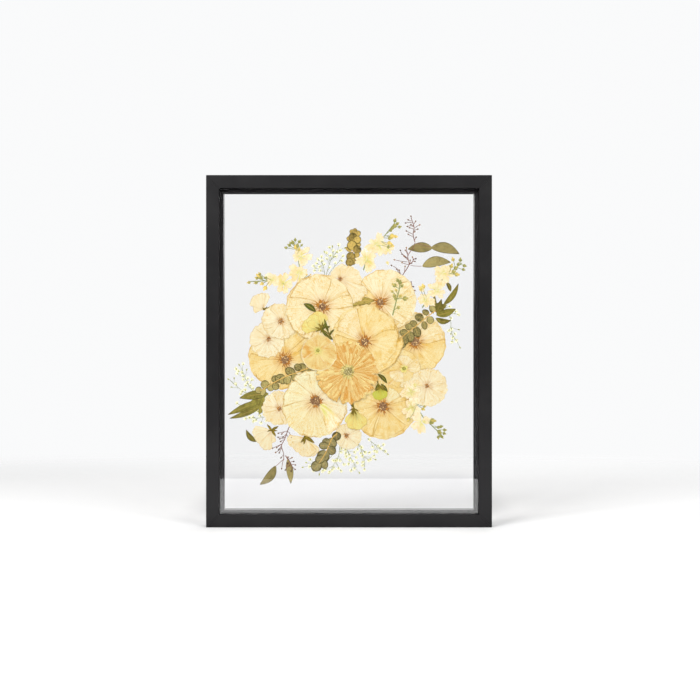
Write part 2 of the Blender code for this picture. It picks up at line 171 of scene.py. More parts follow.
# Small open blooms, given as ROSES are.
SMALL_BLOOMS = (
    (
        "small_bloom_upper_left",
        (0.09, 0.0),
        "blush",
        (3.2, 6.5, 34),
        (
            (20, 90, 0.98, 0), (85, 90, 1.0, 1), (150, 95, 1.0, 0), (205, 70, 0.95, 1), (250, 80, 0.98, 2),
            (305, 76, 1.06, 3),
        ),
    ),
    (
        "small_bloom_left",
        (0.07, 0.025),
        "blush",
        (3.0, 4.6, 20),
        (
            (30, 95, 1.0, 0), (100, 90, 1.0, 1), (165, 95, 1.0, 0), (225, 90, 1.0, 1), (275, 70, 1.02, 2),
            (330, 84, 0.96, 3),
        ),
    ),
    (
        "small_bloom_lower_left",
        (0.026, -0.037),
        "blush",
        (2.6, 5.6, 26),
        (
            (70, 95, 1.0, 0), (128, 92, 1.0, 1), (190, 80, 1.0, 0), (238, 92, 1.0, 2), (300, 90, 1.0, 1),
            (0, 95, 1.0, 0),
        ),
    ),
    (
        "small_bloom_bottom",
        (-0.12, 0.06),
        "blush",
        (2.5, 5.4, 26),
        ((60, 95, 1.0, 0), (130, 95, 1.0, 1), (200, 95, 1.0, 0), (270, 95, 1.0, 1), (345, 95, 1.0, 2)),
    ),
    (
        "small_bloom_right",
        (-0.07, 0.05),
        "blush",
        (2.2, 5.0, 26),
        (
            (95, 80, 0.98, 1), (30, 95, 1.0, 0), (150, 90, 1.0, 0), (215, 90, 0.95, 1), (280, 95, 1.02, 0),
            (335, 80, 1.0, 2),
        ),
    ),
    (
        "small_bloom_top",
        (-0.36, 0.15),
        "blush",
        (2.2, 5.0, 24),
        (
            (118, 100, 1.0, 1), (50, 90, 0.85, 0), (5, 80, 0.84, 1), (319, 56, 1.15, 2), (215, 95, 1.0, 0),
            (265, 90, 0.9, 0),
        ),
    ),
)

# The two ranunculus, given as ROSES are, but for the tint that they share.
RANUNCULUS = (
    (
        "ranunculus_small",
        (-0.07, 0.16),
        (3.4, 6.4, 40),
        (
            (15, 124, 1.0, 0), (105, 124, 1.0, 0), (195, 124, 1.0, 0), (285, 124, 1.0, 0), (60, 120, 1.01, 1),
            (150, 120, 1.01, 1), (240, 120, 1.01, 1), (330, 120, 1.01, 1),
        ),
    ),
    (
        "ranunculus_pale",
        (0.13, 0.01),
        (3.4, 8.0, 60),
        (
            (40, 92, 1.0, 0, "gold"), (92, 92, 1.01, 1, "gold"), (144, 92, 1.06, 0, "gold"), (188, 92, 1.14, 1),
            (248, 92, 1.0, 0, "gold"), (300, 92, 1.01, 1, "cream"), (352, 92, 1.0, 2, "cream"),
            (10, 78, 0.66, 2, "cream"), (80, 78, 0.72, 3, "cream"), (155, 78, 0.7, 2, "gold"),
            (230, 78, 0.74, 3, "cream"), (300, 78, 0.7, 2, "gold"),
        ),
    ),
)

# Half blooms, seen from the side: node, base, petals as turn and spread in degrees,
# length in mm and layer, then sepals as tip places, and the stalk's far end.
HALF_BLOOMS = (
    (
        "half_bloom_left",
        (-130.5, 64.5),
        ((166, 80, 17.0, 0), (126, 88, 25.5, 1), (94, 62, 25.0, 0)),
        ((-126.0, 69.0), (-133.5, 67.5), (-124.5, 62.5)),
        (-117.0, 71.5),
    ),
    (
        "half_bloom_lower_left",
        (-119.0, -121.0),
        ((192, 62, 29.5, 0), (224, 62, 29.0, 1), (248, 44, 32.0, 2), (272, 54, 20.0, 0)),
        ((-126.1, -112.0), (-108.2, -115.1), (-112.1, -131.2), (-125.5, -123.5), (-110.0, -122.0)),
        (-109.5, -118.0),
    ),
    (
        "half_bloom_bottom",
        (-68.0, -131.5),
        ((200, 56, 27.5, 0), (238, 70, 26.0, 1), (278, 64, 31.0, 2), (302, 46, 32.5, 1)),
        ((-74.5, -140.6), (-69.5, -143.5), (-57.0, -137.0), (-52.9, -141.4)),
        (-64.0, -126.0),
    ),
)

# Buds: node, base, tint, petals as HALF_BLOOMS', sepals as tip places, leaves as base,
# tip and width, and the stalk's far end.
BUDS = (
    (
        "bud_left",
        (-42.0, 33.5),
        "lime",
        ((166, 56, 31.0, 0), (138, 62, 28.0, 1), (108, 62, 28.5, 0), (84, 48, 24.0, 1), (150, 44, 24.0, 2)),
        ((-52.0, 36.5), (-47.5, 42.5), (-40.0, 45.5), (-36.5, 40.5), (-51.5, 30.0), (-44.0, 27.5)),
        (
            (-43.0, 33.0, -27.5, 18.0, 4.0), (-38.0, 50.0, -31.0, 27.0, 3.4), (-38.5, 27.5, -24.0, 17.5, 3.6),
            (-31.0, 22.5, -22.5, 33.5, 3.0), (-51.0, 60.5, -69.5, 72.8, 8.5), (-36.0, 46.5, -42.5, 31.0, 3.6),
            (-37.0, 36.0, -29.0, 38.0, 3.0),
        ),
        (-25.0, 18.5),
    ),
    (
        "bud_green",
        (47.0, -53.5),
        "leafy",
        ((256, 66, 21.0, 0), (290, 66, 20.0, 1), (272, 52, 21.5, 2)),
        ((39.0, -58.5), (42.5, -60.5), (48.0, -59.5), (56.5, -60.5), (54.5, -56.0)),
        ((44.5, -50.0, 41.0, -61.0, 4.0), (49.0, -50.0, 59.0, -62.5, 4.6), (44.0, -35.0, 58.0, -49.0, 6.0)),
        (43.9, -45.0),
    ),
    (
        "bud_bottom",
        (7.5, -88.5),
        "lime",
        ((248, 44, 25.0, 0), (272, 56, 31.5, 1), (298, 54, 31.5, 0), (286, 36, 33.0, 2)),
        ((2.0, -97.0), (6.5, -99.5), (12.5, -97.5), (0.5, -91.5), (14.5, -92.5)),
        ((6.5, -86.0, 2.5, -77.0, 4.4),),
        (4.2, -77.5),
    ),
)

# Eucalyptus: node, stem, how far the stem stands toward the viewer, colouring, and round
# leaves as place, half length and half width in mm.
EUCALYPTUS = (
    (
        "eucalyptus_top",
        ((1.5, 132.0), (5.5, 150.0), (8.5, 170.0), (9.5, 186.0)),
        -0.16,
        "brass",
        (
            (9.2, 185.4, 3.4, 2.8), (4.6, 183.4, 3.6, 3.2), (13.6, 181.0, 4.2, 3.8), (0.2, 172.8, 3.8, 3.2),
            (13.8, 163.4, 4.4, 3.2), (5.4, 175.9, 5.4, 5.2), (12.8, 171.4, 5.4, 5.0), (-1.2, 156.6, 4.6, 2.4),
            (4.0, 163.0, 6.5, 6.3), (12.8, 156.2, 5.4, 5.2), (11.8, 147.6, 4.4, 3.2), (2.4, 145.8, 5.9, 5.6),
            (6.4, 138.0, 4.4, 4.0), (0.6, 137.0, 5.4, 4.8),
        ),
    ),
    (
        "eucalyptus_left",
        ((-57.0, -23.5), (-79.0, -32.3), (-97.0, -38.8), (-116.5, -48.9), (-138.0, -62.0)),
        0.34,
        "silver",
        (
            (-139.2, -59.9, 4.5, 4.3), (-129.8, -51.3, 5.6, 5.4), (-132.0, -63.0, 5.4, 3.0),
            (-120.4, -56.0, 5.0, 4.7), (-112.6, -54.4, 5.0, 4.4), (-113.4, -42.7, 5.4, 4.6),
            (-106.3, -41.9, 6.8, 5.5), (-101.6, -45.0, 5.2, 4.8), (-90.7, -31.0, 7.3, 5.2),
            (-95.0, -45.0, 5.4, 4.6), (-84.0, -40.0, 5.2, 4.2), (-73.4, -25.1, 5.9, 5.4),
            (-60.1, -28.3, 5.6, 4.2), (-67.0, -33.0, 5.2, 4.4), (-79.0, -24.5, 5.2, 4.4),
        ),
    ),
    (
        "eucalyptus_bottom",
        ((-17.5, -126.0), (-25.5, -133.0), (-31.0, -145.0), (-36.4, -156.8), (-46.5, -173.0)),
        0.34,
        "smoke",
        (
            (-19.2, -131.0, 5.8, 5.5), (-25.5, -141.2, 7.0, 5.6), (-35.7, -139.6, 5.4, 5.0),
            (-39.6, -145.0, 6.2, 4.8), (-26.3, -152.9, 5.9, 5.5), (-40.4, -162.3, 8.6, 7.9),
            (-38.0, -174.0, 6.3, 4.9), (-50.5, -177.1, 7.2, 6.6), (-45.0, -166.0, 6.5, 5.5),
        ),
    ),
    (
        "eucalyptus_right",
        ((133.0, 62.6), (117.0, 50.5), (97.0, 34.0), (75.2, 18.0)),
        0.34,
        "silver",
        (
            (127.5, 65.5, 4.4, 3.6), (117.4, 60.0, 5.0, 3.4), (125.0, 47.5, 5.0, 4.4), (107.3, 52.0, 5.8, 4.8),
            (115.9, 39.2, 5.4, 3.6), (98.5, 42.5, 5.2, 4.0), (91.5, 37.6, 4.8, 4.0), (104.5, 29.0, 7.2, 4.9),
            (93.2, 21.5, 7.2, 6.0), (80.7, 11.5, 6.6, 6.0), (83.5, 28.5, 5.4, 4.4), (75.0, 8.5, 5.0, 3.2),
            (86.5, 16.0, 5.2, 4.2),
        ),
    ),
)

# Stock stems: node, stem, florets as place and reach in mm, buds as place and size in
# mm and ripeness from green (0) to amber (1).
STOCK_STEMS = (
    (
        "stock_stem_top",
        ((-71.0, 108.0), (-75.0, 125.0), (-79.0, 146.0), (-84.0, 166.0)),
        ((-73.6, 145.4, 19.0), (-77.0, 119.5, 18.5)),
        (
            (-97.0, 159.0, 4.0, 0.3), (-92.0, 163.0, 4.5, 0.1), (-90.0, 166.5, 3.6, 0.2), (-82.6, 171.6, 3.8, 0.1),
            (-75.9, 168.5, 4.4, 0.2), (-79.0, 162.0, 5.0, 0.2), (-82.0, 160.0, 5.5, 0.9), (-76.7, 156.7, 4.6, 0.8),
            (-86.5, 167.5, 5.0, 0.1), (-72.5, 163.0, 3.2, 0.2), (-64.5, 117.6, 2.2, 1.0), (-59.0, 117.6, 2.2, 1.0),
        ),
    ),
    (
        "stock_stem_left",
        ((-88.0, 98.0), (-100.0, 103.5), (-118.0, 108.0), (-153.0, 107.0)),
        ((-118.0, 110.6, 13.5), (-100.0, 103.6, 18.5)),
        (
            (-139.2, 116.0, 6.0, 0.7), (-136.0, 113.0, 5.5, 0.3), (-142.0, 112.5, 4.5, 0.5), (-154.0, 105.5, 4.4, 0.6),
            (-143.2, 105.1, 4.8, 0.4), (-133.8, 103.6, 4.8, 0.9), (-129.0, 96.5, 6.0, 0.9), (-137.5, 119.0, 4.0, 0.5),
            (-128.0, 113.0, 4.0, 0.3),
        ),
    ),
    (
        "stock_stem_top_right",
        ((22.0, 124.0), (28.0, 140.0), (46.0, 166.0), (56.0, 179.0), (71.0, 198.0)),
        ((43.6, 165.1, 20.5), (27.2, 140.1, 19.0), (59.5, 156.5, 9.5), (59.2, 135.4, 3.4)),
        (
            (71.0, 193.0, 6.0, 0.2), (67.5, 190.0, 5.0, 0.2), (70.6, 201.0, 4.6, 0.1), (78.0, 190.9, 4.2, 0.2),
            (74.5, 196.0, 4.6, 0.2), (67.0, 176.8, 7.0, 0.8), (63.0, 173.5, 5.2, 0.5), (72.0, 176.0, 4.4, 0.9),
            (64.5, 186.0, 4.2, 0.2), (62.5, 166.0, 5.6, 0.9), (66.5, 162.0, 4.8, 0.9),
            (61.0, 160.0, 4.2, 0.3),
        ),
    ),
    (
        "stock_stem_right",
        ((112.0, 66.0), (126.0, 88.0), (146.0, 113.0), (164.3, 128.0), (174.0, 136.0)),
        ((144.8, 121.0, 17.0), (135.4, 93.6, 19.5), (117.4, 78.0, 16.0), (111.9, 97.5, 6.5)),
        (
            (159.6, 141.3, 4.8, 0.7), (171.0, 140.5, 4.8, 0.1), (177.6, 131.2, 4.6, 0.1), (157.3, 131.2, 5.4, 0.6),
            (165.9, 117.9, 6.0, 0.6), (176.0, 125.3, 4.0, 0.2), (164.3, 128.0, 5.6, 0.3), (168.0, 134.0, 4.6, 0.2),
            (161.0, 122.0, 5.2, 0.4), (114.0, 100.0, 5.4, 0.9), (110.0, 96.0, 5.0, 0.8),
        ),
    ),
    (
        "stock_stem_lower_right",
        ((95.0, -46.0), (99.0, -74.0), (113.0, -100.0), (127.6, -114.6), (141.5, -128.0)),
        ((101.5, -52.0, 11.5), (95.5, -63.0, 19.0), (96.8, -86.8, 19.0), (111.6, -108.5, 18.0)),
        (
            (114.0, -88.9, 4.6, 0.7), (91.3, -105.0, 5.4, 0.7), (129.2, -106.8, 7.0, 0.4), (126.5, -110.0, 5.0, 0.2),
            (137.8, -117.0, 4.4, 0.1), (141.7, -115.4, 4.2, 0.1), (147.1, -120.9, 4.4, 0.2), (146.4, -126.3, 4.2, 0.2),
            (140.9, -130.2, 4.6, 0.2), (137.0, -132.6, 4.0, 0.3), (143.2, -132.0, 3.8, 0.2), (139.0, -124.0, 5.6, 0.2),
            (116.0, -85.0, 3.4, 0.6),
        ),
    ),
    (
        "stock_bud_stem",
        ((66.8, 54.7), (70.5, 69.0), (73.5, 81.0), (76.9, 93.8), (78.3, 106.0)),
        (),
        (
            (69.1, 101.6, 5.6, 0.4), (78.5, 106.0, 5.2, 0.1), (74.5, 109.0, 4.4, 0.1), (69.1, 85.2, 4.6, 0.5),
            (71.5, 81.3, 4.2, 0.3), (86.7, 81.0, 6.2, 0.3), (76.1, 67.2, 4.4, 0.5), (81.5, 100.5, 4.2, 0.3),
            (66.0, 92.0, 3.6, 0.6), (79.5, 84.5, 4.0, 0.7), (72.0, 94.0, 3.6, 0.8),
        ),
    ),
)

# Baby's breath: node, main stems, open florets' places, closed buds' places.
BREATH_SPRAYS = (
    (
        "breath_spray_top",
        (
            ((-37.0, 113.0), (-38.0, 124.0), (-41.0, 136.0)),
            ((-36.0, 113.0), (-32.0, 128.0), (-27.0, 142.0), (-18.0, 154.0)),
            ((-34.0, 114.0), (-24.0, 128.0), (-11.0, 142.0)),
        ),
        (
            (-30.1, 159.9), (-24.2, 154.4), (-15.6, 163.4), (-12.9, 155.2), (-17.6, 152.8), (-28.5, 147.4),
            (-34.0, 142.7), (-42.2, 145.8), (-41.8, 139.5), (-47.7, 141.1), (-50.0, 135.2), (-46.1, 129.8),
            (-37.9, 134.1), (-53.1, 123.9), (-44.5, 123.9), (-8.9, 146.6), (-10.5, 139.5), (-29.3, 129.4),
            (-21.0, 136.0), (-34.5, 151.0), (-55.0, 131.0), (-19.5, 146.0),
        ),
        ((-23.0, 145.4), (-5.8, 159.1), (-38.0, 153.0), (-52.0, 128.0), (-25.5, 161.5)),
    ),
    (
        "breath_spray_left",
        (
            ((-139.0, -70.0), (-150.0, -58.0), (-158.0, -44.0), (-165.0, -28.0)),
            ((-140.0, -72.0), (-156.0, -66.0), (-170.0, -56.0), (-183.0, -45.0)),
            ((-130.0, -95.0), (-145.0, -92.0), (-158.0, -86.0), (-169.0, -82.0)),
            ((-124.0, -99.0), (-134.0, -102.0), (-148.0, -103.0)),
        ),
        (
            (-162.6, -19.2), (-174.0, -26.6), (-170.8, -30.2), (-164.6, -32.1), (-172.0, -34.1), (-163.0, -37.6),
            (-162.2, -43.1), (-155.6, -41.1), (-149.0, -43.5), (-156.4, -48.1), (-174.0, -50.5), (-159.1, -52.1),
            (-151.3, -52.1), (-147.8, -56.0), (-164.6, -61.4), (-159.9, -59.1), (-166.9, -65.7), (-159.1, -66.9),
            (-154.4, -70.0), (-145.8, -62.2), (-172.4, -79.4), (-168.5, -85.7), (-159.5, -103.3), (-154.0, -101.7),
            (-148.6, -101.3), (-147.0, -107.6), (-136.8, -99.0), (-143.5, -106.0), (-135.3, -109.9),
            (-126.7, -106.8), (-151.0, -90.0), (-163.5, -92.0), (-141.0, -92.0),
        ),
        ((-185.7, -42.7), (-176.5, -41.0), (-169.0, -20.5), (-181.0, -55.0), (-157.0, -28.0)),
    ),
    (
        "breath_spray_bottom",
        (
            ((-20.0, -147.0), (-26.0, -160.0), (-38.0, -172.0), (-52.0, -180.0)),
            ((-14.0, -145.0), (-16.0, -160.0), (-22.0, -172.0), (-28.0, -180.0)),
            ((-6.0, -145.0), (0.0, -158.0), (6.0, -170.0), (12.0, -178.0)),
            ((14.0, -142.0), (20.0, -155.0), (24.0, -168.0), (24.0, -178.0)),
            ((28.0, -134.0), (38.0, -142.0), (47.0, -150.0), (54.0, -153.0)),
        ),
        (
            (-59.9, -166.2), (-60.7, -177.1), (-54.4, -183.4), (-40.4, -184.2), (-36.4, -181.8), (-30.6, -185.7),
            (-26.3, -182.6), (-23.1, -179.5), (-16.1, -180.3), (-21.6, -168.5), (-18.5, -167.0), (-24.7, -167.8),
            (-12.2, -155.2), (-11.4, -149.8), (-5.9, -152.1), (-5.2, -157.6), (-4.4, -162.3), (0.3, -159.9),
            (1.1, -166.2), (5.8, -169.3), (-7.5, -174.0), (-0.5, -173.2), (8.1, -180.3), (12.8, -171.7),
            (11.3, -163.1), (8.9, -155.2), (12.8, -151.3), (19.1, -147.4), (20.6, -161.5), (24.6, -156.0),
            (21.4, -170.1), (20.6, -175.6), (23.8, -181.8), (30.0, -167.8), (31.1, -135.6), (53.0, -143.4),
            (45.6, -145.8), (49.1, -149.7), (56.1, -153.6), (42.8, -154.4), (38.9, -153.6), (31.9, -155.9),
            (25.6, -155.1), (38.1, -161.4), (19.4, -148.1), (13.1, -151.2), (17.8, -157.5), (33.4, -166.1),
            (-12.0, -184.0), (3.0, -183.5), (-14.0, -168.0), (36.0, -147.0),
        ),
        ((-71.6, -178.3), (-45.8, -189.7), (16.0, -187.0), (-66.0, -171.0), (60.0, -158.5), (41.0, -166.5)),
    ),
    (
        "breath_spray_right",
        (
            ((148.0, 66.0), (156.0, 58.0), (164.0, 58.0)),
            ((149.0, 64.0), (156.0, 48.0), (157.0, 32.0), (163.0, 16.0)),
        ),
        (
            (153.4, 31.3), (157.3, 33.5), (159.6, 20.4), (157.9, 14.3), (165.0, 16.3), (157.3, 50.5),
            (164.3, 61.4), (168.1, 56.4), (155.0, 68.9), (147.5, 70.4), (163.0, 26.5),
        ),
        ((156.5, 26.3), (170.6, 5.5), (169.0, 33.0)),
    ),
)

# Seeded eucalyptus: node, stems, seeds' places, leaves as base, tip and width in mm,
# and a bow as a share of the length, and the joints that the leaves' stalks start from.
SEEDED_SPRIGS = (
    (
        "seeded_eucalyptus_top_right",
        (
            ((80.0, 109.6), (82.5, 117.0), (92.1, 133.0), (90.5, 146.3), (99.0, 160.0), (101.5, 167.0)),
            ((101.5, 167.0), (98.5, 179.2), (99.9, 190.9), (95.2, 205.3)),
            ((92.1, 133.0), (97.0, 137.0), (99.5, 142.0)),
            ((95.0, 108.0), (96.8, 98.2), (99.0, 92.0)),
        ),
        (
            (95.2, 207.3), (90.9, 201.9), (102.3, 199.5), (108.5, 194.0), (95.2, 194.4), (89.7, 191.7), (92.9, 189.7),
            (88.2, 184.7), (91.3, 179.6), (103.0, 174.9), (78.8, 154.9), (86.6, 155.0), (88.2, 158.9),
            (81.5, 149.1), (84.7, 145.6), (69.8, 140.5), (81.5, 136.2), (65.1, 131.9), (86.2, 130.3),
            (73.3, 126.0), (77.2, 124.4), (70.6, 121.3), (75.3, 120.5), (74.1, 116.6), (79.2, 114.6),
            (99.1, 140.9), (96.0, 135.4), (101.0, 138.0), (97.5, 144.5), (94.0, 139.5), (102.5, 142.0),
            (94.0, 103.7), (98.8, 99.2), (101.0, 93.2), (105.5, 187.5), (101.0, 183.5), (87.0, 197.0),
        ),
        (
            (128.1, 158.5, 90.5, 156.8, 15.5, -0.05),
            (126.0, 159.3, 169.4, 149.5, 16.5, 0.10),
            (112.5, 130.6, 156.1, 136.6, 16.0, 0.10),
        ),
        ((101.5, 166.0, 126.5, 159.5), (93.2, 132.4, 113.0, 130.8)),
    ),
    (
        "seeded_eucalyptus_bottom_left",
        (
            ((-89.2, -113.3), (-93.1, -118.8), (-98.6, -134.5), (-103.7, -145.0), (-100.6, -157.1), (-100.2, -168.0)),
            ((-98.0, -160.0), (-92.0, -168.0), (-88.0, -176.0)),
        ),
        (
            (-108.4, -125.9), (-108.8, -132.1), (-106.4, -134.5), (-104.9, -138.6), (-101.5, -131.7), (-103.3, -127.0),
            (-92.5, -136.0), (-88.6, -132.7), (-117.4, -148.9), (-111.1, -147.9), (-107.9, -150.9), (-112.7, -155.4),
            (-107.0, -155.8), (-104.5, -163.6), (-93.5, -162.6), (-103.5, -180.2), (-85.1, -169.4), (-82.5, -174.7),
            (-83.0, -181.4), (-97.8, -182.4), (-91.6, -175.7), (-94.5, -172.0), (-89.0, -184.0), (-96.0, -176.0),
            (-87.5, -163.5),
        ),
        (
            (-112.5, -176.0, -137.0, -205.0, 13.0, 0.10),
            (-94.4, -166.0, -89.4, -203.5, 10.5, 0.03),
        ),
        ((-100.5, -166.0, -112.5, -176.5), (-98.0, -160.0, -94.4, -167.0)),
    ),
)

# Long leaves: node, colouring, leaves as base, tip, width in mm, and bow, and how far
# they all stand toward the viewer.
LEAF_GROUPS = (
    (
        "leaf_cluster_left",
        "olive",
        (
            (-123.5, -65.5, -168.3, -72.0, 13.5, -0.03), (-131.0, -76.0, -186.0, -97.5, 11.0, -0.02),
            (-131.0, -79.5, -183.6, -103.2, 9.5, 0.05), (-131.0, -70.0, -138.5, -97.6, 10.0, 0.05),
            (-127.0, -66.0, -156.5, -83.5, 10.0, 0.02),
        ),
        0.0,
    ),
    (
        "leaf_cluster_right",
        "dark",
        (
            (134.0, 55.6, 163.8, 65.0, 11.5, -0.05), (133.0, 50.8, 156.6, 47.4, 8.6, -0.14),
            (133.0, 60.0, 142.0, 80.0, 7.5, -0.06), (134.0, 58.0, 150.0, 71.0, 8.0, 0.05),
            (131.5, 66.0, 141.0, 74.5, 6.0, 0.08),
            (133.5, 62.0, 131.5, 86.0, 7.0, 0.06), (132.0, 61.0, 147.0, 72.5, 7.0, 0.05),
            (145.0, 71.0, 168.0, 104.0, 8.5, -0.08), (156.0, 92.0, 148.5, 107.5, 6.0, -0.08),
            (130.0, 58.0, 124.0, 71.0, 5.0, 0.08),
        ),
        0.0,
    ),
    (
        "folded_leaf",
        "golden",
        ((-2.5, 72.5, 40.0, 77.5, 12.5, 0.05), (-1.5, 70.0, 34.0, 74.0, 6.0, -0.10)),
        0.6,
    ),
)

# Leaves behind a half bloom, given as LEAF_GROUPS' are.
HALF_BLOOM_LEAVES = {"half_bloom_lower_left": ((-142.0, -139.0, -158.0, -120.5, 8.0, 0.12),)}


def shade(red, green, blue):
    """A colour from display values of 0 to 255, as the linear values that shaders take."""
    value = np.array([red, green, blue]) / 255
    return tuple(np.where(value <= 0.04045, value / 12.92, ((value + 0.055) / 1.055) ** 2.4))


def colour_setting(name, description, *display):
    """A colour setting, with its default in display values."""
    return bpy.props.FloatVectorProperty(
        name=name, description=description, subtype="COLOR", min=0, max=1, default=shade(*display)
    )


def length_setting(name, description, millimetres):
    """A length setting, with its default in mm."""
    return bpy.props.FloatProperty(
        name=name, description=description, unit="LENGTH", min=0, precision=5, default=millimetres * MM
    )


class FrameFinish(bpy.types.PropertyGroup):
    """Paint, glass and metal."""

    paint: colour_setting("Paint", "Colour of the painted rails", 20, 19, 21)
    # Lighter than the rails' paint: painted light on the strips behind the glass
    lit_inner_paint: colour_setting("Inner paint", "Colour of the strips behind the glass", 40, 39, 41)
    dust: colour_setting("Dust", "Colour of the few specks of dust on the paint", 150, 146, 134)
    glass: colour_setting("Glass", "What one face of a pane lets through", 255, 255, 255)
    hanger: colour_setting("Hanger", "Colour of the sawtooth hanger", 196, 164, 100)
    nail: colour_setting("Nail", "Colour of the nails", 190, 190, 188)
    paint_roughness: bpy.props.FloatProperty(
        name="Paint roughness", description="How matte the paint is", subtype="FACTOR", min=0, max=1, default=0.42
    )


class PetalColours(bpy.types.PropertyGroup):
    """Colours of the dried petals and of what is at their hearts."""

    cream: colour_setting("Cream", "Creamy rose petals", 231, 223, 188)
    gold: colour_setting("Gold", "Golden rose petals", 229, 213, 160)
    ivory: colour_setting("Ivory", "Palest rose petals", 229, 226, 190)
    amber: colour_setting("Amber", "Fringed bloom's petals", 235, 222, 154)
    honey: colour_setting("Honey", "Ranunculus petals", 224, 206, 140)
    blush: colour_setting("Blush", "Small blooms' petals", 231, 226, 198)
    milk: colour_setting("Milk", "Stock florets' petals", 238, 231, 206)
    lime: colour_setting("Lime", "Buds' petals", 224, 217, 137)
    leafy: colour_setting("Leafy", "The greenest bud's petals", 183, 191, 66)
    age: colour_setting("Age", "What old petals turn to in blotches and folds", 220, 179, 82)
    # Near the eye it is partly painted shade, where many petals overlap
    orange: colour_setting("Orange", "What amber petals turn to, and petals near the eye", 208, 141, 41)
    amber_patch: colour_setting("Amber patch", "Patches on the ranunculus petals", 209, 154, 66)
    rim: colour_setting("Rim", "Petals' thin dry edges", 192, 148, 60)
    heart: colour_setting("Heart", "Streaks round a bloom's eye", 179, 122, 43)
    stamen: colour_setting("Stamen", "Stamens' threads", 162, 106, 46)
    anther: colour_setting("Anther", "Darkest tops of the stamens", 96, 58, 40)
    # Pale anther colour, also used for painted highlights on the eye's beads
    pale_anther_and_highlight: colour_setting("Pollen", "Palest tops of the stamens", 220, 186, 130)
    green_eye: colour_setting("Green eye", "Eyes of ranunculus and stock", 206, 200, 92)


class LeafColours(bpy.types.PropertyGroup):
    """Colours of the leaves, stems, seeds and baby's breath."""

    olive: colour_setting("Olive", "Olive leaves", 150, 142, 60)
    dark: colour_setting("Dark", "Darkest leaves", 134, 126, 44)
    golden: colour_setting("Golden", "Leaves that have turned golden", 178, 156, 76)
    khaki: colour_setting("Khaki", "Seeded eucalyptus leaves", 176, 162, 104)
    brass: colour_setting("Brass", "Eucalyptus leaves that have turned brown", 206, 176, 92)
    silver: colour_setting("Silver", "Eucalyptus leaves", 186, 172, 106)
    smoke: colour_setting("Smoke", "Eucalyptus leaves that have turned grey", 158, 148, 100)
    fresh: colour_setting("Fresh", "Greenest leaves, at the buds", 92, 104, 20)
    sepal: colour_setting("Sepal", "Sepals and bud leaves", 136, 116, 24)
    leaf_edge: colour_setting("Leaf edge", "Leaves' darker edges and veins", 68, 58, 14)
    pale_stem: colour_setting("Pale stem", "Stems of stock and baby's breath", 150, 160, 100)
    gold_stem: colour_setting("Gold stem", "Eucalyptus stems", 214, 172, 92)
    mauve_stem: colour_setting("Mauve stem", "Seeded eucalyptus stems", 132, 88, 78)
    seed: colour_setting("Seed", "Seeds of the seeded eucalyptus", 70, 46, 36)
    breath: colour_setting("Breath", "Baby's breath florets", 250, 248, 222)


class PlantSizes(bpy.types.PropertyGroup):
    """Thicknesses of what is pressed, and how crumpled it is."""

    petal: length_setting("Petal", "Thickness of a petal", 0.05)
    leaf: length_setting("Leaf", "Thickness of a leaf", 0.14)
    crumple: length_setting("Crumple", "Height of the petals' crumples", 0.075)
    swell: length_setting("Swell", "Height of the slow swell that all the plants share", 0.11)


class StageSettings(bpy.types.PropertyGroup):
    """Camera, lights and floor."""

    distance: length_setting("Distance", "From the camera to the frame's face", 2200)
    eye_height: length_setting("Eye height", "Camera's height over the floor", 271.2)
    side_step: length_setting("Side step", "How far right of the middle the camera stands", 1.5)
    lens: bpy.props.FloatProperty(
        name="Lens", description="Focal length", unit="CAMERA", min=10, default=74.05
    )
    key: bpy.props.FloatProperty(
        name="Key", description="Power of the key light", unit="POWER", min=0, default=68
    )
    fill: bpy.props.FloatProperty(
        name="Fill", description="Power of the fill light", unit="POWER", min=0, default=36
    )
    back: bpy.props.FloatProperty(
        name="Back", description="Power of the light behind", unit="POWER", min=0, default=25
    )
    room: bpy.props.FloatProperty(
        name="Room", description="Brightness of the room's own light", min=0, default=0.5
    )
    table_edge: length_setting("Table edge", "From the frame's face to the table's front edge", 840)


def settings():
    """The settings of the whole frame."""
    return bpy.context.scene.pressed_frame


def in_mm(name):
    """One of the plant sizes, in mm."""
    return getattr(settings().sizes, name) / MM


# Random numbers and fields --------------------------------------------------


def dice(name):
    """A random generator of the piece's own, the same at each run."""
    return np.random.default_rng([ord(letter) for letter in name])


def field(right, up, wavelength, rng, count=9):
    """Sum of plane waves near one wavelength in random directions, about -1 to 1."""
    turn = rng.uniform(0, FULL_TURN, count)
    start = rng.uniform(0, FULL_TURN, count)
    pace = FULL_TURN / (wavelength * rng.uniform(0.7, 1.4, count))
    phase = right[..., None] * pace * np.cos(turn) + up[..., None] * pace * np.sin(turn)
    return np.sin(phase + start).sum(-1) / math.sqrt(count)


def crumple(right, up, rng):
    """Creased paper: slow waves, and folds where the faster ones cross zero."""
    slow = field(right, up, 26, rng)
    folds = 0.6 - 1.6 * np.abs(field(right, up, 17, rng))
    fine = 0.5 - 1.2 * np.abs(field(right, up, 9, rng))
    return 0.4 * slow + 0.35 * folds + 0.25 * fine


def swell(right, up):
    """The slow waves shared by everything between the panes, so that layers don't cross."""
    rng = dice("panes")
    return in_mm("swell") * 0.5 * (field(right, up, 34, rng) + 0.6 * field(right, up, 15, rng))


# Shapes on the plane ---------------------------------------------------------


def directions(turn):
    """The step (cos, sin) of length 1 at each angle."""
    return np.stack([np.cos(turn), np.sin(turn)], axis=-1)


def headings(starts, ends):
    """The angle of the way from each start to its end."""
    return np.arctan2(ends[:, 1] - starts[:, 1], ends[:, 0] - starts[:, 0])


def turned_left(ahead):
    """Each step (right, up) a quarter turn round: (-up, right)."""
    return np.stack([-ahead[..., 1], ahead[..., 0]], axis=-1)


def on_plane(flat, toward=0.0):
    """Places (right, up) given their height toward the viewer."""
    flat = np.asarray(flat, float)
    return np.stack([flat[..., 0], np.broadcast_to(toward, flat.shape[:-1]), flat[..., 1]], axis=-1)


def polar(eye, radius, angle, toward=0.0):
    """The eye plus radius times (cos, sin) of the angle, given its height toward the viewer."""
    return on_plane(np.asarray(eye) + radius[..., None] * directions(angle), toward)


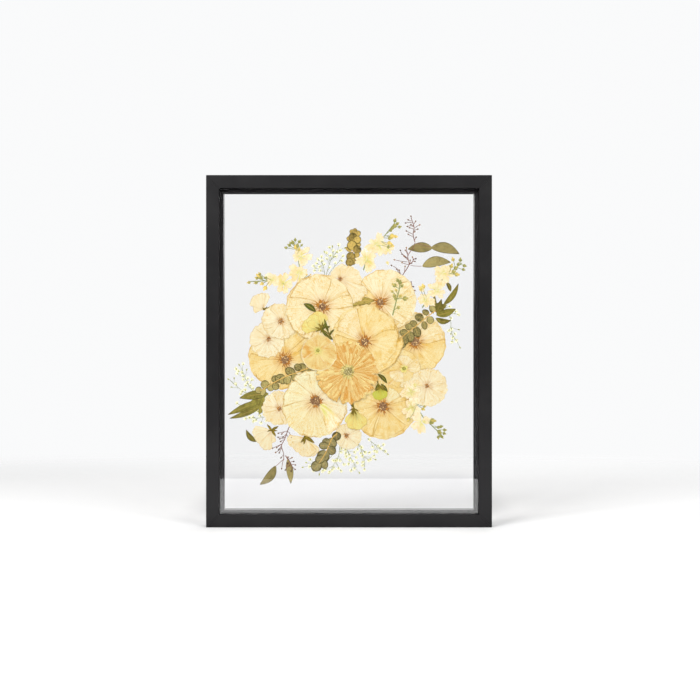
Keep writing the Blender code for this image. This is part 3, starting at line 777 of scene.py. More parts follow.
def smooth_path(points, count):
    """Catmull-Rom curve through the points, with its ends carried on straight."""
    knots = np.array(points, float)
    knots = np.vstack([2 * knots[0] - knots[1], knots, 2 * knots[-1] - knots[-2]])
    place = np.linspace(0, len(points) - 1, count)
    span = np.minimum(place.astype(int), len(points) - 2)
    t = (place - span)[:, None]
    a, b, c, d = (knots[span + i] for i in range(4))
    square = 2 * a - 5 * b + 4 * c - d
    cube = 3 * b - a - 3 * c + d
    return (2 * b + (c - a) * t + square * t**2 + cube * t**3) / 2


def rim_distance(eye, middle, radius, turn):
    """How far from the eye the bloom's round rim is, in each direction."""
    off_right, off_up = eye[0] - middle[0], eye[1] - middle[1]
    ahead = off_right * np.cos(turn) + off_up * np.sin(turn)
    return np.sqrt(radius**2 - off_right**2 - off_up**2 + ahead**2) - ahead


def petal_grid(
    eye, turn, spread, reach, cells, rng, *, claw=0.62, corner=0.1, power=4.0, notch=0.0, ruffle=0.012,
    waves=5, jag=0.0, root=1.2, bend=0.06,
):
    """A petal as a polar grid about its eye: across by along by (right, toward, up).

    s runs across from -1 to 1 and v along from 0 to 1. The half angle grows from claw
    to 1 of its full width as v**0.7. The length is the reach in that direction, less
    corner * |s|**power at the corners and a notch at the tip, with a ruffled or jagged
    end. The petal bends sideways by bend * v**2.
    """
    s = np.linspace(-1, 1, cells[0] + 1)[:, None]
    v = np.linspace(0, 1, cells[1] + 1)[None, :]
    phase = rng.uniform(0, FULL_TURN, 4)
    wobble = 1 + 0.05 * np.sin(5 * v + phase[0]) * np.abs(s)
    half = math.radians(spread) / 2 * (claw + (1 - claw) * v**0.7) * wobble
    angle = math.radians(turn) + s * half + bend * rng.uniform(-1, 1) * v**2
    edge = 1 - corner * np.abs(s) ** power - notch * np.exp(-((s / 0.16) ** 2))
    edge = edge + ruffle * (np.sin(waves * s * 2 + phase[1]) + 0.6 * np.sin(waves * s * 4.3 + phase[2]))
    if jag:
        edge = edge + jag * rng.uniform(-1, 1, cells[0] + 1)[:, None]
    radius = root + (reach(angle) * edge - root) * v
    return polar(eye, radius, angle)


def grid_spots(cells):
    """The UV places of a grid: across and along, from 0 to 1."""
    ways = (np.linspace(0, 1, count + 1) for count in cells)
    return np.stack(np.meshgrid(*ways, indexing="ij"), axis=-1)


def blade_grids(bases, tips, widths, cells, *, bow=0.0, widest=1.0, full=0.8, tip=0.12, cup=0.0):
    """Leaves as grids: one for each base and tip, across by along by (right, toward, up).

    The midrib is a straight line with a bow of bow * 4 t (1 - t) of its length. Each
    row is half as wide as width * sin(pi t**widest)**full, and cup lowers its edges by
    cup * s**2.
    """
    bases, tips = np.atleast_2d(bases).astype(float), np.atleast_2d(tips).astype(float)
    widths, bow = (np.broadcast_to(value, len(bases))[:, None, None] for value in (widths, bow))
    s = np.linspace(-1, 1, cells[0] + 1)[None, :, None]
    t = np.linspace(0, 1, cells[1] + 1)[None, None, :]
    ahead = (tips - bases)[:, None, None, :]
    left = turned_left(ahead)
    length = np.linalg.norm(ahead, axis=-1, keepdims=True)
    half = widths / 2 * np.sin(math.pi * t**widest) ** full + tip
    sideways = (bow * 4 * t * (1 - t))[..., None] * left + (s * half)[..., None] * left / length
    return on_plane(bases[:, None, None, :] + t[..., None] * ahead + sideways, -cup * s**2)


def stalk_paths(starts, ends, lift, count, bow, rng):
    """Lines from each start to each end, with a side step of bow * 4 t (1 - t) of their length,
    times a random number from -1 to 1."""
    starts, ends = np.asarray(starts, float), np.asarray(ends, float)
    t = np.linspace(0, 1, count)[None, :, None]
    ahead = (ends - starts)[:, None, :]
    side = bow * rng.uniform(-1, 1, len(starts))[:, None, None]
    return on_plane(starts[:, None, :] + t * ahead + side * 4 * t * (1 - t) * turned_left(ahead), lift)


# Putting a plant together ----------------------------------------------------


def sheet_faces(across, along):
    """Quads of a grid of points, wound so that they face the viewer."""
    index = np.arange(across * along).reshape(across, along)
    return np.stack([index[:-1, :-1], index[:-1, 1:], index[1:, 1:], index[1:, :-1]], axis=-1).reshape(-1, 4)


def shell_faces(across, along):
    """Quads of a thin shell: the sheet, the same behind it turned round, and the rim between."""
    count = across * along
    front = sheet_faces(across, along)
    index = np.arange(count).reshape(across, along)
    rim = np.concatenate([index[0, :], index[1:, -1], index[-1, -2::-1], index[-2:0:-1, 0]])
    after = np.roll(rim, -1)
    edge = np.stack([rim, rim + count, after + count, after], axis=-1)
    return np.concatenate([front, front[:, ::-1] + count, edge])


class Plant:
    """Collects shells, stalks and beads, and makes them one mesh at the end."""

    def __init__(self, node):
        low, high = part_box(node)
        self.node = node
        self.middle = ((low.x + high.x) / 2 / MM, ((low.z + high.z) / 2 - MIDDLE_Z) / MM)
        self.radius = (high.x - low.x) / 2 / MM
        self.depth = (low.y + high.y) / 2
        self.rng = dice(node)
        self.points, self.spots, self.tones = [], [], []
        self.quads, self.quad_finish, self.triangles, self.triangle_finish = [], [], [], []
        self.materials = []
        self.count = 0

    def add(self, points, spots, tones, quads, triangles, material):
        """Append a batch of like shapes: points are batch by point by 3."""
        batch, each = points.shape[:2]
        if material not in self.materials:
            self.materials.append(material)
        finish = self.materials.index(material)
        offset = self.count + np.arange(batch)[:, None, None] * each
        self.points.append(points.reshape(-1, 3))
        self.spots.append(np.broadcast_to(spots, (batch, each, 2)).reshape(-1, 2))
        self.tones.append(np.repeat(np.broadcast_to(tones, batch), each))
        self.quads.append((quads[None] + offset).reshape(-1, 4))
        self.quad_finish.append(np.full(batch * len(quads), finish))
        if len(triangles):
            self.triangles.append((triangles[None] + offset).reshape(-1, 3))
            self.triangle_finish.append(np.full(batch * len(triangles), finish))
        self.count += batch * each

    def add_shells(self, grids, material, tones, thickness):
        """Close each grid of points into a shell: the same points, moved back by the thickness."""
        grids = np.array(grids if grids.ndim == 4 else grids[None])
        batch, across, along = grids.shape[:3]
        grids[..., 1] += swell(grids[..., 0], grids[..., 2])
        back = grids - [0, thickness, 0]
        points = np.concatenate([grids.reshape(batch, -1, 3), back.reshape(batch, -1, 3)], axis=1)
        spots = grid_spots((across - 1, along - 1)).reshape(-1, 2)
        self.add(points, np.tile(spots, (2, 1)), tones, shell_faces(across, along), (), material)

    def add_tubes(self, paths, radii, material, tones=0.5, sides=5, flat=0.6):
        """Pressed stalks: rings of sides points about each path, flattened, and a point at each end."""
        paths = np.array(paths if paths.ndim == 3 else paths[None])
        paths[..., 1] += swell(paths[..., 0], paths[..., 2])
        batch, count = paths.shape[:2]
        along = np.gradient(paths, axis=1)[:, 1:-1]
        left = on_plane(turned_left(along[..., ::2]))
        left /= np.linalg.norm(left, axis=-1, keepdims=True)
        angle = np.arange(sides) * FULL_TURN / sides
        around = left[:, :, None, :] * np.cos(angle)[:, None] + np.array([0, flat, 0]) * np.sin(angle)[:, None]
        radii = np.broadcast_to(radii, (batch, count - 2))[:, :, None, None]
        rings = (paths[:, 1:-1, None, :] + radii * around).reshape(batch, -1, 3)
        points = np.concatenate([paths[:, :1], rings, paths[:, -1:]], axis=1)
        index = 1 + np.arange((count - 2) * sides).reshape(count - 2, sides)
        after = np.roll(index, -1, axis=1)
        quads = np.stack([index[:-1], after[:-1], after[1:], index[1:]], axis=-1).reshape(-1, 4)
        last = np.full(sides, points.shape[1] - 1)
        caps = [
            np.stack([np.zeros(sides, int), after[0], index[0]], axis=-1),
            np.stack([last, index[-1], after[-1]], axis=-1),
        ]
        v = np.linspace(0, 1, count)
        ring_spots = np.stack(np.meshgrid(np.arange(sides) / sides, v[1:-1]), axis=-1).reshape(-1, 2)
        spots = np.vstack([[0.5, 0], ring_spots, [0.5, 1]])
        self.add(points, spots, tones, quads, np.concatenate(caps), material)

    def add_beads(self, places, lengths, widths, turns, material, tones=0.5, sides=6, rings=3, flat=0.6):
        """Small pressed ovals: a tube with radii sin(pi j / m) at -cos(pi j / m) of its half length."""
        places = np.atleast_2d(places).astype(float)
        j = np.arange(rings + 2) * math.pi / (rings + 1)
        lengths = np.broadcast_to(lengths, len(places))[:, None]
        widths = np.broadcast_to(widths, len(places))[:, None]
        turns = np.broadcast_to(turns, len(places))
        reach = -np.cos(j)[None, :] * lengths / 2
        paths = places[:, None, :] + reach[..., None] * on_plane(directions(turns))[:, None, :]
        self.add_tubes(paths, np.sin(j[1:-1])[None, :] * widths / 2, material, tones, sides, flat)

    def make(self, slot):
        """One mesh at the origin that stands for the CAD node and rides with it. The slot argument is not used."""
        points = np.concatenate(self.points)
        world = np.column_stack([points[:, 0] * MM, self.depth - points[:, 1] * MM, MIDDLE_Z + points[:, 2] * MM])
        quads = np.concatenate(self.quads)
        triangles = np.concatenate(self.triangles) if self.triangles else np.zeros((0, 3), int)
        corners = np.concatenate([quads.ravel(), triangles.ravel()])
        starts = np.concatenate([np.arange(len(quads)) * 4, len(quads) * 4 + np.arange(len(triangles)) * 3])
        mesh = bpy.data.meshes.new("pressed_" + self.node)
        mesh.vertices.add(len(world))
        mesh.vertices.foreach_set("co", world.ravel())
        mesh.loops.add(len(corners))
        mesh.loops.foreach_set("vertex_index", corners.astype(np.int32))
        mesh.polygons.add(len(starts))
        mesh.polygons.foreach_set("loop_start", starts.astype(np.int32))
        finishes = np.concatenate(self.quad_finish + self.triangle_finish)
        mesh.polygons.foreach_set("material_index", finishes.astype(np.int32))
        mesh.update(calc_edges=True)
        spots = np.concatenate(self.spots)[corners]
        mesh.uv_layers.new(name="UVMap").data.foreach_set("uv", spots.astype(np.float32).ravel())
        tones = mesh.attributes.new("tone", "FLOAT", "POINT")
        tones.data.foreach_set("value", np.concatenate(self.tones).astype(np.float32))
        mesh.shade_smooth()
        mesh.set_sharp_from_angle(angle=SHARP_ANGLE)
        for material in self.materials:
            mesh.materials.append(material)
        obj = bpy.data.objects.new(mesh.name, mesh)
        bpy.context.scene.collection.objects.link(obj)
        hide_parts(self.node)
        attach(obj, "root")
        return obj


# Shader nodes ----------------------------------------------------------------


def set_input(tree, socket, value):
    """Join a socket to another, or set its value. A colour of three gets its fourth number."""
    if isinstance(value, bpy.types.NodeSocket):
        tree.links.new(value, socket)
    elif socket.type == "RGBA":
        socket.default_value = (*value, 1.0)
    else:
        socket.default_value = value


def add_node(tree, kind, inputs=None, **choices):
    """A shader node with its choices made, and its inputs set or joined."""
    made = tree.nodes.new("ShaderNode" + kind)
    for name, value in choices.items():
        setattr(made, name, value)
    for name, value in (inputs or {}).items():
        set_input(tree, made.inputs[name], value)
    return made


def mixed(tree, share, first, second, blend="MIX"):
    """The first colour, with a share of the second over it."""
    made = add_node(tree, "Mix", data_type="RGBA", blend_type=blend)
    for index, value in ((0, share), (6, first), (7, second)):
        set_input(tree, made.inputs[index], value)
    return made.outputs[2]


def calc(tree, operation, first, second=0.5, clamp=False):
    """One sum. Operations of one value leave the second alone."""
    made = add_node(tree, "Math", operation=operation, use_clamp=clamp)
    set_input(tree, made.inputs[0], first)
    set_input(tree, made.inputs[1], second)
    return made.outputs[0]


def rise(tree, value, low, high):
    """0 below low, 1 above high and smooth between. Given high first, it falls instead."""
    inputs = {"Value": value, "From Min": low, "From Max": high}
    return add_node(tree, "MapRange", inputs, interpolation_type="SMOOTHSTEP").outputs["Result"]


def noise(tree, place, scale, detail=2.0, roughness=0.55, distortion=0.0):
    """Cloudy values about 0.5, with scale cells to the metre or to the place's unit."""
    inputs = {"Vector": place, "Scale": scale, "Detail": detail, "Roughness": roughness, "Distortion": distortion}
    return add_node(tree, "TexNoise", inputs).outputs["Fac"]


def blank_material(name):
    """A new material with no nodes, and its node tree."""
    material = bpy.data.materials.new(name)
    material.use_nodes = True
    material.node_tree.nodes.clear()
    return material, material.node_tree


def finish_material(tree, shader):
    """Join the shader to the material's output."""
    add_node(tree, "OutputMaterial", {"Surface": shader})


def object_place(tree):
    """The place on the object, in metres."""
    return add_node(tree, "TexCoord").outputs["Object"]


def mixed_shader(tree, share, first, second):
    """The first shader, with a share of the second in its place."""
    return add_node(tree, "MixShader", {0: share, 1: first, 2: second}).outputs["Shader"]


def surface(tree, colour, roughness, height, *, bump, strength, clear=0.0, metallic=0.0, specular=0.5):
    """A Principled shader with a bump, and a share of light let through from behind."""
    raised = add_node(tree, "Bump", {"Height": height, "Distance": bump, "Strength": strength})
    inputs = {
        "Base Color": colour, "Roughness": roughness, "Metallic": metallic, "Specular IOR Level": specular,
        "Normal": raised.outputs["Normal"],
    }
    shader = add_node(tree, "BsdfPrincipled", inputs).outputs["BSDF"]
    if clear:
        through = add_node(tree, "BsdfTranslucent", {"Color": colour}).outputs["BSDF"]
        shader = mixed_shader(tree, clear, shader, through)
    finish_material(tree, shader)


def total(tree, *parts):
    """The sum of values, each times its weight, held between 0 and 1."""
    value = calc(tree, "MULTIPLY", *parts[0])
    for part, weight in parts[1:]:
        value = add_node(tree, "Math", {0: part, 1: weight, 2: value}, operation="MULTIPLY_ADD").outputs[0]
    return calc(tree, "ADD", value, 0.0, clamp=True)


def times(tree, *values):
    """The product of values."""
    value = values[0]
    for factor in values[1:]:
        value = calc(tree, "MULTIPLY", value, factor)
    return value


def surface_places(tree):
    """Object place, how far across and along the piece, how far from its midrib, and its tone."""
    coords = add_node(tree, "TexCoord")
    split = add_node(tree, "SeparateXYZ", {"Vector": coords.outputs["UV"]})
    across, along = split.outputs["X"], split.outputs["Y"]
    tone = add_node(tree, "Attribute", attribute_name="tone").outputs["Fac"]
    side = times(tree, calc(tree, "ABSOLUTE", calc(tree, "SUBTRACT", across, 0.5)), 2.0)
    return coords.outputs["Object"], across, along, side, tone


def stretched(tree, across, along, tone, wide, long):
    """A place for a texture that is wide by long cells over a piece, and another on each piece."""
    inputs = {"X": times(tree, across, wide), "Y": times(tree, along, long), "Z": times(tree, tone, TONE_SHIFT)}
    return add_node(tree, "CombineXYZ", inputs).outputs["Vector"]


def ridge(tree, value, width):
    """Thin lines where a noise crosses its middle."""
    return rise(tree, calc(tree, "ABSOLUTE", calc(tree, "SUBTRACT", value, 0.5)), width, 0.0)


def petal_material(
    name, body, *, age=0.5, folds=0.5, veins=0.36, heart=0.8, heart_reach=0.38, rim=0.85, fan=18.0,
    own_tone=0.16, lip=0.96, aged=None, heart_colour=None, rim_colour=None, clear=0.14,
):
    """A dried petal. Fine veins fan out from its foot and creases run along its rim, both of them
    golden. Its edge is a thin dry line, and dark streaks leave the eye."""
    colours = settings().petals
    material, tree = blank_material(name)
    place, across, along, side, tone = surface_places(tree)
    vein = noise(tree, stretched(tree, across, along, tone, fan, 1.2), 1.0, 3.0, 0.5, 0.4)
    streak = noise(tree, stretched(tree, across, along, tone, fan * 0.6, 0.9), 1.0, 2.0, 0.5, 0.0)
    crease = noise(tree, stretched(tree, across, along, tone, 6.0, 20.0), 1.0, 2.0, 0.5, 1.2)
    crumb = noise(tree, place, 330.0, 3.0, 0.6, 1.2)
    blotch = noise(tree, place, 80.0, 2.0, 0.5, 0.6)
    grain = noise(tree, place, 900.0, 2.0, 0.6)

    lines = total(
        tree,
        (times(tree, rise(tree, vein, 0.5, 0.64), rise(tree, along, 1.1, 0.15)), veins),
        (times(tree, ridge(tree, vein, 0.03), rise(tree, along, 0.1, 0.5)), 0.8 * folds),
        (times(tree, ridge(tree, crease, 0.04), rise(tree, along, 0.3, 0.75)), 0.8 * folds),
        (ridge(tree, crumb, 0.035), 0.06 * folds),
        (rise(tree, blotch, 0.42, 0.78), 0.85 * age),
        # Painted shade: more golden towards each petal's sides, where petals lie under their neighbours
        (rise(tree, side, 0.55, 1.0), 0.3 * age),
        (tone, own_tone),
    )
    colour = mixed(tree, lines, body, aged or colours.age)
    light = total(tree, (rise(tree, vein, 0.44, 0.32), 0.6), (rise(tree, crease, 0.42, 0.3), 0.7))
    colour = mixed(tree, times(tree, light, 0.16), colour, colours.milk)
    # Golden near the eye: the heart's own colour, with painted shade where many petals overlap
    near = rise(tree, along, heart_reach * 1.3, heart_reach * 0.3)
    colour = mixed(tree, times(tree, near, 0.4 * heart), colour, heart_colour or colours.orange)
    core = times(tree, rise(tree, along, heart_reach, heart_reach * 0.4), rise(tree, streak, 0.5, 0.58), heart)
    colour = mixed(tree, core, colour, heart_colour or colours.heart)
    patch = noise(tree, place, 34.0, 2.0)
    seam = times(tree, rise(tree, side, 0.93, 0.97), rise(tree, patch, 0.3, 0.5))
    tip = times(tree, rise(tree, along, lip, 0.4 * lip + 0.6), rise(tree, patch, 0.38, 0.56))
    edge = times(tree, calc(tree, "MAXIMUM", seam, tip), rise(tree, crumb, 0.2, 0.6), rim)
    colour = mixed(tree, edge, colour, rim_colour or colours.rim)

    height = total(tree, (vein, 0.5), (ridge(tree, crease, 0.09), 0.35), (crumb, 0.1), (grain, 0.05))
    surface(tree, colour, 0.62, height, bump=0.001, strength=0.4, clear=clear, specular=0.25)
    return material


def leaf_material(
    name, body, *, veins=9.0, lean=0.18, edge=0.75, rib=0.5, mottled=0.45, own_tone=0.35, border=0.76, clear=0.12
):
    """A dried leaf: mottled, with a pale midrib, side veins that lean forward and dark edges."""
    colours = settings().leaves
    material, tree = blank_material(name)
    place, _, along, side, tone = surface_places(tree)
    mottle = noise(tree, place, 320.0, 4.0, 0.65, 0.6)
    cloud = noise(tree, place, 80.0, 2.0)
    slant = calc(tree, "SUBTRACT", along, times(tree, side, lean))
    wave = calc(tree, "SINE", times(tree, slant, veins * FULL_TURN))
    vein = times(tree, rise(tree, wave, 0.75, 1.0), rise(tree, side, 1.0, 0.4))
    midrib = rise(tree, side, 0.14, 0.03)
    shaded = total(
        tree,
        (rise(tree, mottle, 0.45, 0.75), mottled),
        (tone, own_tone),
        (rise(tree, cloud, 0.45, 0.7), 0.25),
        (vein, 0.3),
    )
    colour = mixed(tree, shaded, body, colours.leaf_edge)
    pale = rise(tree, mottle, 0.45, 0.25)
    colour = mixed(tree, times(tree, pale, 0.35), colour, colours.khaki)
    colour = mixed(tree, times(tree, midrib, rib), colour, colours.gold_stem)
    dark = calc(tree, "MAXIMUM", rise(tree, side, border, 0.96), rise(tree, along, 0.5 * border + 0.5, 0.98))
    colour = mixed(tree, times(tree, dark, edge), colour, colours.leaf_edge)
    height = total(tree, (mottle, 0.5), (midrib, 0.3), (vein, 0.2))
    surface(tree, colour, 0.55, height, bump=0.0005, strength=0.8, clear=clear, specular=0.2)
    return material


def toned_material(name, first, second, *, scale, roughness=0.6, clear=0.0):
    """Two colours mixed by each piece's own tone and a fine mottle: stalks, seeds and stamens."""
    material, tree = blank_material(name)
    place = object_place(tree)
    tone = add_node(tree, "Attribute", attribute_name="tone").outputs["Fac"]
    mottle = noise(tree, place, scale, 3.0, 0.6)
    spread = calc(tree, "ADD", tone, times(tree, calc(tree, "SUBTRACT", mottle, 0.5), 0.9), clamp=True)
    colour = mixed(tree, spread, first, second)
    surface(tree, colour, roughness, mottle, bump=0.0002, strength=0.6, clear=clear, specular=0.2)
    return material


def painted_wood(name, paint, specular=0.24):
    """Satin paint over close-grained wood, with a few specks of dust."""
    look = settings().finish
    material, tree = blank_material(name)
    place = object_place(tree)
    stipple = noise(tree, place, 1400.0, 2.0)
    cloud = noise(tree, place, 18.0, 3.0)
    specks = add_node(tree, "TexVoronoi", {"Vector": place, "Scale": 38.0})
    few = rise(tree, noise(tree, place, 31.0, 1.0), 0.6, 0.64)
    dust = times(tree, rise(tree, specks.outputs["Distance"], 0.03, 0.018), few)
    worn = mixed(tree, times(tree, rise(tree, cloud, 0.4, 0.7), 0.25), paint, shade(38, 37, 37))
    colour = mixed(tree, times(tree, dust, 0.7), worn, look.dust)
    uneven = times(tree, calc(tree, "SUBTRACT", cloud, 0.5), 0.12)
    sheen = calc(tree, "ADD", look.paint_roughness, uneven)
    surface(tree, colour, sheen, stipple, bump=0.00006, strength=0.35, specular=specular)
    return material


def pane_glass(name):
    """Clear glass: it lets light straight through, and mirrors a share where a ray enters."""
    material, tree = blank_material(name)
    facing = add_node(tree, "NewGeometry").outputs["Backfacing"]
    bounce = add_node(tree, "Fresnel", {"IOR": GLASS_IOR}).outputs["Fac"]
    share = times(tree, bounce, calc(tree, "SUBTRACT", 1.0, facing))
    through = add_node(tree, "BsdfTransparent", {"Color": settings().finish.glass}).outputs["BSDF"]
    mirror = add_node(tree, "BsdfGlossy", {"Roughness": 0.0}).outputs["BSDF"]
    finish_material(tree, mixed_shader(tree, share, through, mirror))
    return material


def worn_metal(name, colour, scratch):
    """Rolled metal with fine scratches along its length and dull patches."""
    material, tree = blank_material(name)
    place = object_place(tree)
    drawn = add_node(tree, "Mapping", {"Vector": place, "Scale": (120.0, 900.0, 1600.0)}).outputs["Vector"]
    lines = noise(tree, drawn, 1.0, 2.0)
    patch = noise(tree, place, 140.0, 3.0)
    dull = mixed(tree, times(tree, rise(tree, patch, 0.45, 0.75), 0.5), colour, scratch)
    sheen = calc(tree, "ADD", 0.28, times(tree, patch, 0.25))
    surface(tree, dull, sheen, lines, bump=0.00005, strength=0.5, metallic=1.0)
    return material


def dress(node, material):
    """Give a CAD node a better material, and leave its mesh as it is."""
    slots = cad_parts[node].data.materials
    slots.clear()
    slots.append(material)


def kept(name, make, *colours, **look):
    """The material of that name, made once and shared by every piece that asks for it."""
    return bpy.data.materials.get(name) or make(name, *colours, **look)


PETAL_LOOKS = {
    "cream": {"age": 0.35, "folds": 0.7},
    "gold": {"age": 0.6, "folds": 0.7, "rim": 0.9},
    "ivory": {"age": 0.12, "folds": 0.7, "veins": 0.36},
    "amber": {"age": 0.15, "folds": 0.6, "veins": 0.85, "fan": 2.2, "heart": 0.15, "own_tone": 0.7},
    "honey": {
        "age": 0.8, "folds": 0.5, "veins": 0.5, "heart": 0.3, "heart_reach": 0.3, "fan": 8.0, "lip": 0.93, "rim": 0.6
    },
    "blush": {"age": 0.15, "folds": 0.7, "veins": 0.42, "fan": 12.0, "heart": 0.45, "heart_reach": 0.36},
    "milk": {"age": 0.3, "folds": 0.7, "fan": 5.0, "veins": 0.5, "heart_reach": 0.75, "rim": 0.8, "clear": 0.06},
    "lime": {"age": 0.3, "folds": 0.7, "veins": 0.6, "fan": 7.0, "heart": 0.6, "heart_reach": 0.6},
    "leafy": {"age": 0.1, "folds": 0.2, "veins": 0.5, "fan": 6.0, "heart": 0.8, "heart_reach": 0.6, "rim": 0.3},
}


def petal_finish(tint):
    """The petals of one colouring, some with heart, age or rim colours of their own."""
    petals, green = settings().petals, settings().leaves.sepal
    own_colours = {
        "amber": {"aged": petals.orange},
        "honey": {"aged": petals.amber_patch, "heart_colour": petals.green_eye, "rim_colour": petals.blush},
        "milk": {"heart_colour": petals.green_eye},
        "lime": {"heart_colour": green},
        "leafy": {"heart_colour": green},
    }
    look = {**PETAL_LOOKS[tint], **own_colours.get(tint, {})}
    return kept("petal_" + tint, petal_material, getattr(petals, tint), **look)


def two_tone(name, first, second, **look):
    """A toned material that is made once."""
    return kept(name, toned_material, first, second, **look)


def stamen_finish():
    """The threads of an eye."""
    colours = settings().petals
    return two_tone("stamen_threads", colours.stamen, colours.heart, scale=900.0)


def anther_finish():
    """The beads of an eye."""
    colours = settings().petals
    return two_tone("anthers", colours.anther, colours.pale_anther_and_highlight, scale=900.0, roughness=0.8)


def green_eye_finish():
    """The green threads and beads of ranunculus and stock."""
    colours = settings().petals
    return two_tone("green_eye", colours.green_eye, colours.honey, scale=700.0)


def sepal_finish():
    """Sepals and the cup under them."""
    return kept("sepals", leaf_material, settings().leaves.sepal, veins=6.0, clear=0.08, mottled=0.8, rib=0.3)


LEAF_LOOKS = {
    "olive": {"veins": 10.0, "rib": 0.3},
    "dark": {"veins": 12.0, "mottled": 0.7, "rib": 0.3},
    "golden": {"veins": 8.0, "mottled": 0.4},
    "khaki": {"veins": 12.0, "mottled": 0.25, "edge": 0.7, "clear": 0.18, "rib": 0.15},
    "fresh": {"veins": 5.0, "mottled": 0.8, "edge": 0.9},
    "silver": {"veins": 4.0, "lean": 0.35, "edge": 1.0, "rib": 0.3, "own_tone": 0.5, "border": 0.7},
    "smoke": {"veins": 4.0, "lean": 0.35, "edge": 1.0, "rib": 0.3, "own_tone": 0.6, "border": 0.62},
    "brass": {"veins": 3.0, "lean": 0.35, "edge": 1.0, "rib": 0.1, "own_tone": 0.4, "border": 0.66, "mottled": 0.6},
}


def leaf_finish(tint):
    """The leaves of one colouring."""
    return kept("leaf_" + tint, leaf_material, getattr(settings().leaves, tint), **LEAF_LOOKS[tint])


def stem_finish(tint):
    """The stems of one colouring."""
    leaves = settings().leaves
    return two_tone("stem_" + tint, getattr(leaves, tint), leaves.leaf_edge, scale=500.0)


# Blooms ----------------------------------------------------------------------


def add_petals(plant, eye, petals, tint, reach_of, cells, step=0.055, tilt=0.045, lift=0.0, **shape):
    """Petals over one another: each leans on the next by its tilt, and its layer lifts it a step.

    A petal is its turn and spread in degrees, its length and its layer, and then its own tint
    where that isn't the bloom's. All of a bloom's petals share one field of crumples.
    """
    height = in_mm("crumple")
    s = np.linspace(-1, 1, cells[0] + 1)[:, None]
    for turn, spread, length, layer, *own_tint in petals:
        rng = np.random.default_rng(plant.rng.integers(1 << 30))
        grid = petal_grid(eye, turn, spread, reach_of(length), cells, rng, **shape)
        folds = crumple(grid[..., 0], grid[..., 2], dice("crumple " + plant.node))
        grid[..., 1] += lift + tilt * s + step * layer + height * folds
        finish = petal_finish(own_tint[0] if own_tint else tint)
        plant.add_shells(grid, finish, rng.uniform(0, 1), in_mm("petal"))


def add_eye(plant, eye, core, reach, threads, thread_finish, top_finish, lift=0.3, bead=2.1):
    """A bloom's eye: beads packed in a golden spiral on a flat disc, uneven all round, and
    bent threads out of it that end in beads of their own."""
    rng = plant.rng
    disc = (eye[0], 0.12, eye[1])
    plant.add_beads(disc, 2 * core, 2 * core, 0.0, top_finish, 0.2, sides=14, rings=5, flat=0.02)
    k = np.arange(int(core * core * 4.6 / bead**2))
    turn = k * GOLDEN_TURN
    bulge = 1 + 0.2 * np.sin(3 * turn + rng.uniform(0, 6)) + 0.12 * np.sin(5 * turn + rng.uniform(0, 6))
    share = np.sqrt((k + 0.5) / len(k))
    radius = core * share * (1 + (bulge - 1) * share)
    places = polar(eye, radius, turn, lift * (1 - 0.4 * share))
    size = bead * rng.uniform(0.7, 1.3, len(k))
    pale = rng.uniform(0, 1, len(k))
    # A few beads at the palest colour are painted highlights; the rest take darker anther tones
    tones = np.where(pale > 0.85, 1.0, 0.4 * pale)
    plant.add_beads(places, size, size * 0.75, turn, top_finish, tones, sides=5, rings=2, flat=0.4)

    turn = rng.uniform(0, FULL_TURN, threads)
    length = core + (reach - core) * rng.uniform(0.0, 1.0, threads) ** 1.3
    start = core * rng.uniform(0.7, 1.0, threads)
    t = np.linspace(0, 1, 6)[None, :]
    angle = turn[:, None] + rng.uniform(-0.3, 0.3, threads)[:, None] * t**2
    out = start[:, None] + (length - start)[:, None] * t
    paths = polar(eye, out, angle, lift * (0.5 + 0.3 * np.sin(math.pi * t)))
    radii = bead * np.linspace(0.52, 0.26, 4)
    plant.add_tubes(paths, radii, thread_finish, rng.uniform(0, 1, threads), sides=4)
    size = bead * rng.uniform(0.3, 0.8, threads)
    tones = rng.uniform(0, 0.8, threads)
    plant.add_beads(paths[:, -1], size, size * 0.7, angle[:, -1], top_finish, tones, sides=5, rings=2)


def eye_of(plant, offset):
    """The eye's place, offset from the bloom's middle by shares of its radius."""
    return (plant.middle[0] + offset[0] * plant.radius, plant.middle[1] + offset[1] * plant.radius)


def rim_reach(plant, eye):
    """For a petal of a given share: the way from the eye to the bloom's rim, times the share."""
    return lambda length: lambda angle: length * rim_distance(eye, plant.middle, plant.radius, angle)


def own_reach(length):
    """For a petal of its own length, in mm."""
    return lambda angle: np.full_like(angle, length)


def add_rose(node, offset, tint, stamens, petals):
    """A large open rose: broad petals about its eye, out to a round rim."""
    plant = Plant(node)
    eye = eye_of(plant, offset)
    add_petals(
        plant, eye, petals, tint, rim_reach(plant, eye), (40, 32),
        claw=0.75, corner=0.04, power=5.5, ruffle=0.013, waves=6, root=2.5, bend=0.16,
    )
    add_eye(plant, eye, *stamens, stamen_finish(), anther_finish())
    return plant.make("rose_petal")


def add_small_bloom(node, offset, tint, stamens, petals):
    """A small open bloom: as a rose, with notched and more ruffled petals."""
    plant = Plant(node)
    eye = eye_of(plant, offset)
    add_petals(
        plant, eye, petals, tint, rim_reach(plant, eye), (24, 22),
        claw=0.85, corner=0.15, power=3.4, notch=0.03, ruffle=0.028, waves=5, root=1.6,
    )
    add_eye(plant, eye, *stamens, stamen_finish(), anther_finish(), lift=0.25, bead=1.2)
    return plant.make("small_petal")


# Rings of the fringed bloom: petals, length as a share of the way to the rim, layer, spread.
FRINGE_RINGS = ((72, 1.0, 0, 9), (60, 0.97, 1, 7), (50, 0.86, 2, 6), (40, 0.66, 3, 6), (30, 0.45, 4, 7))


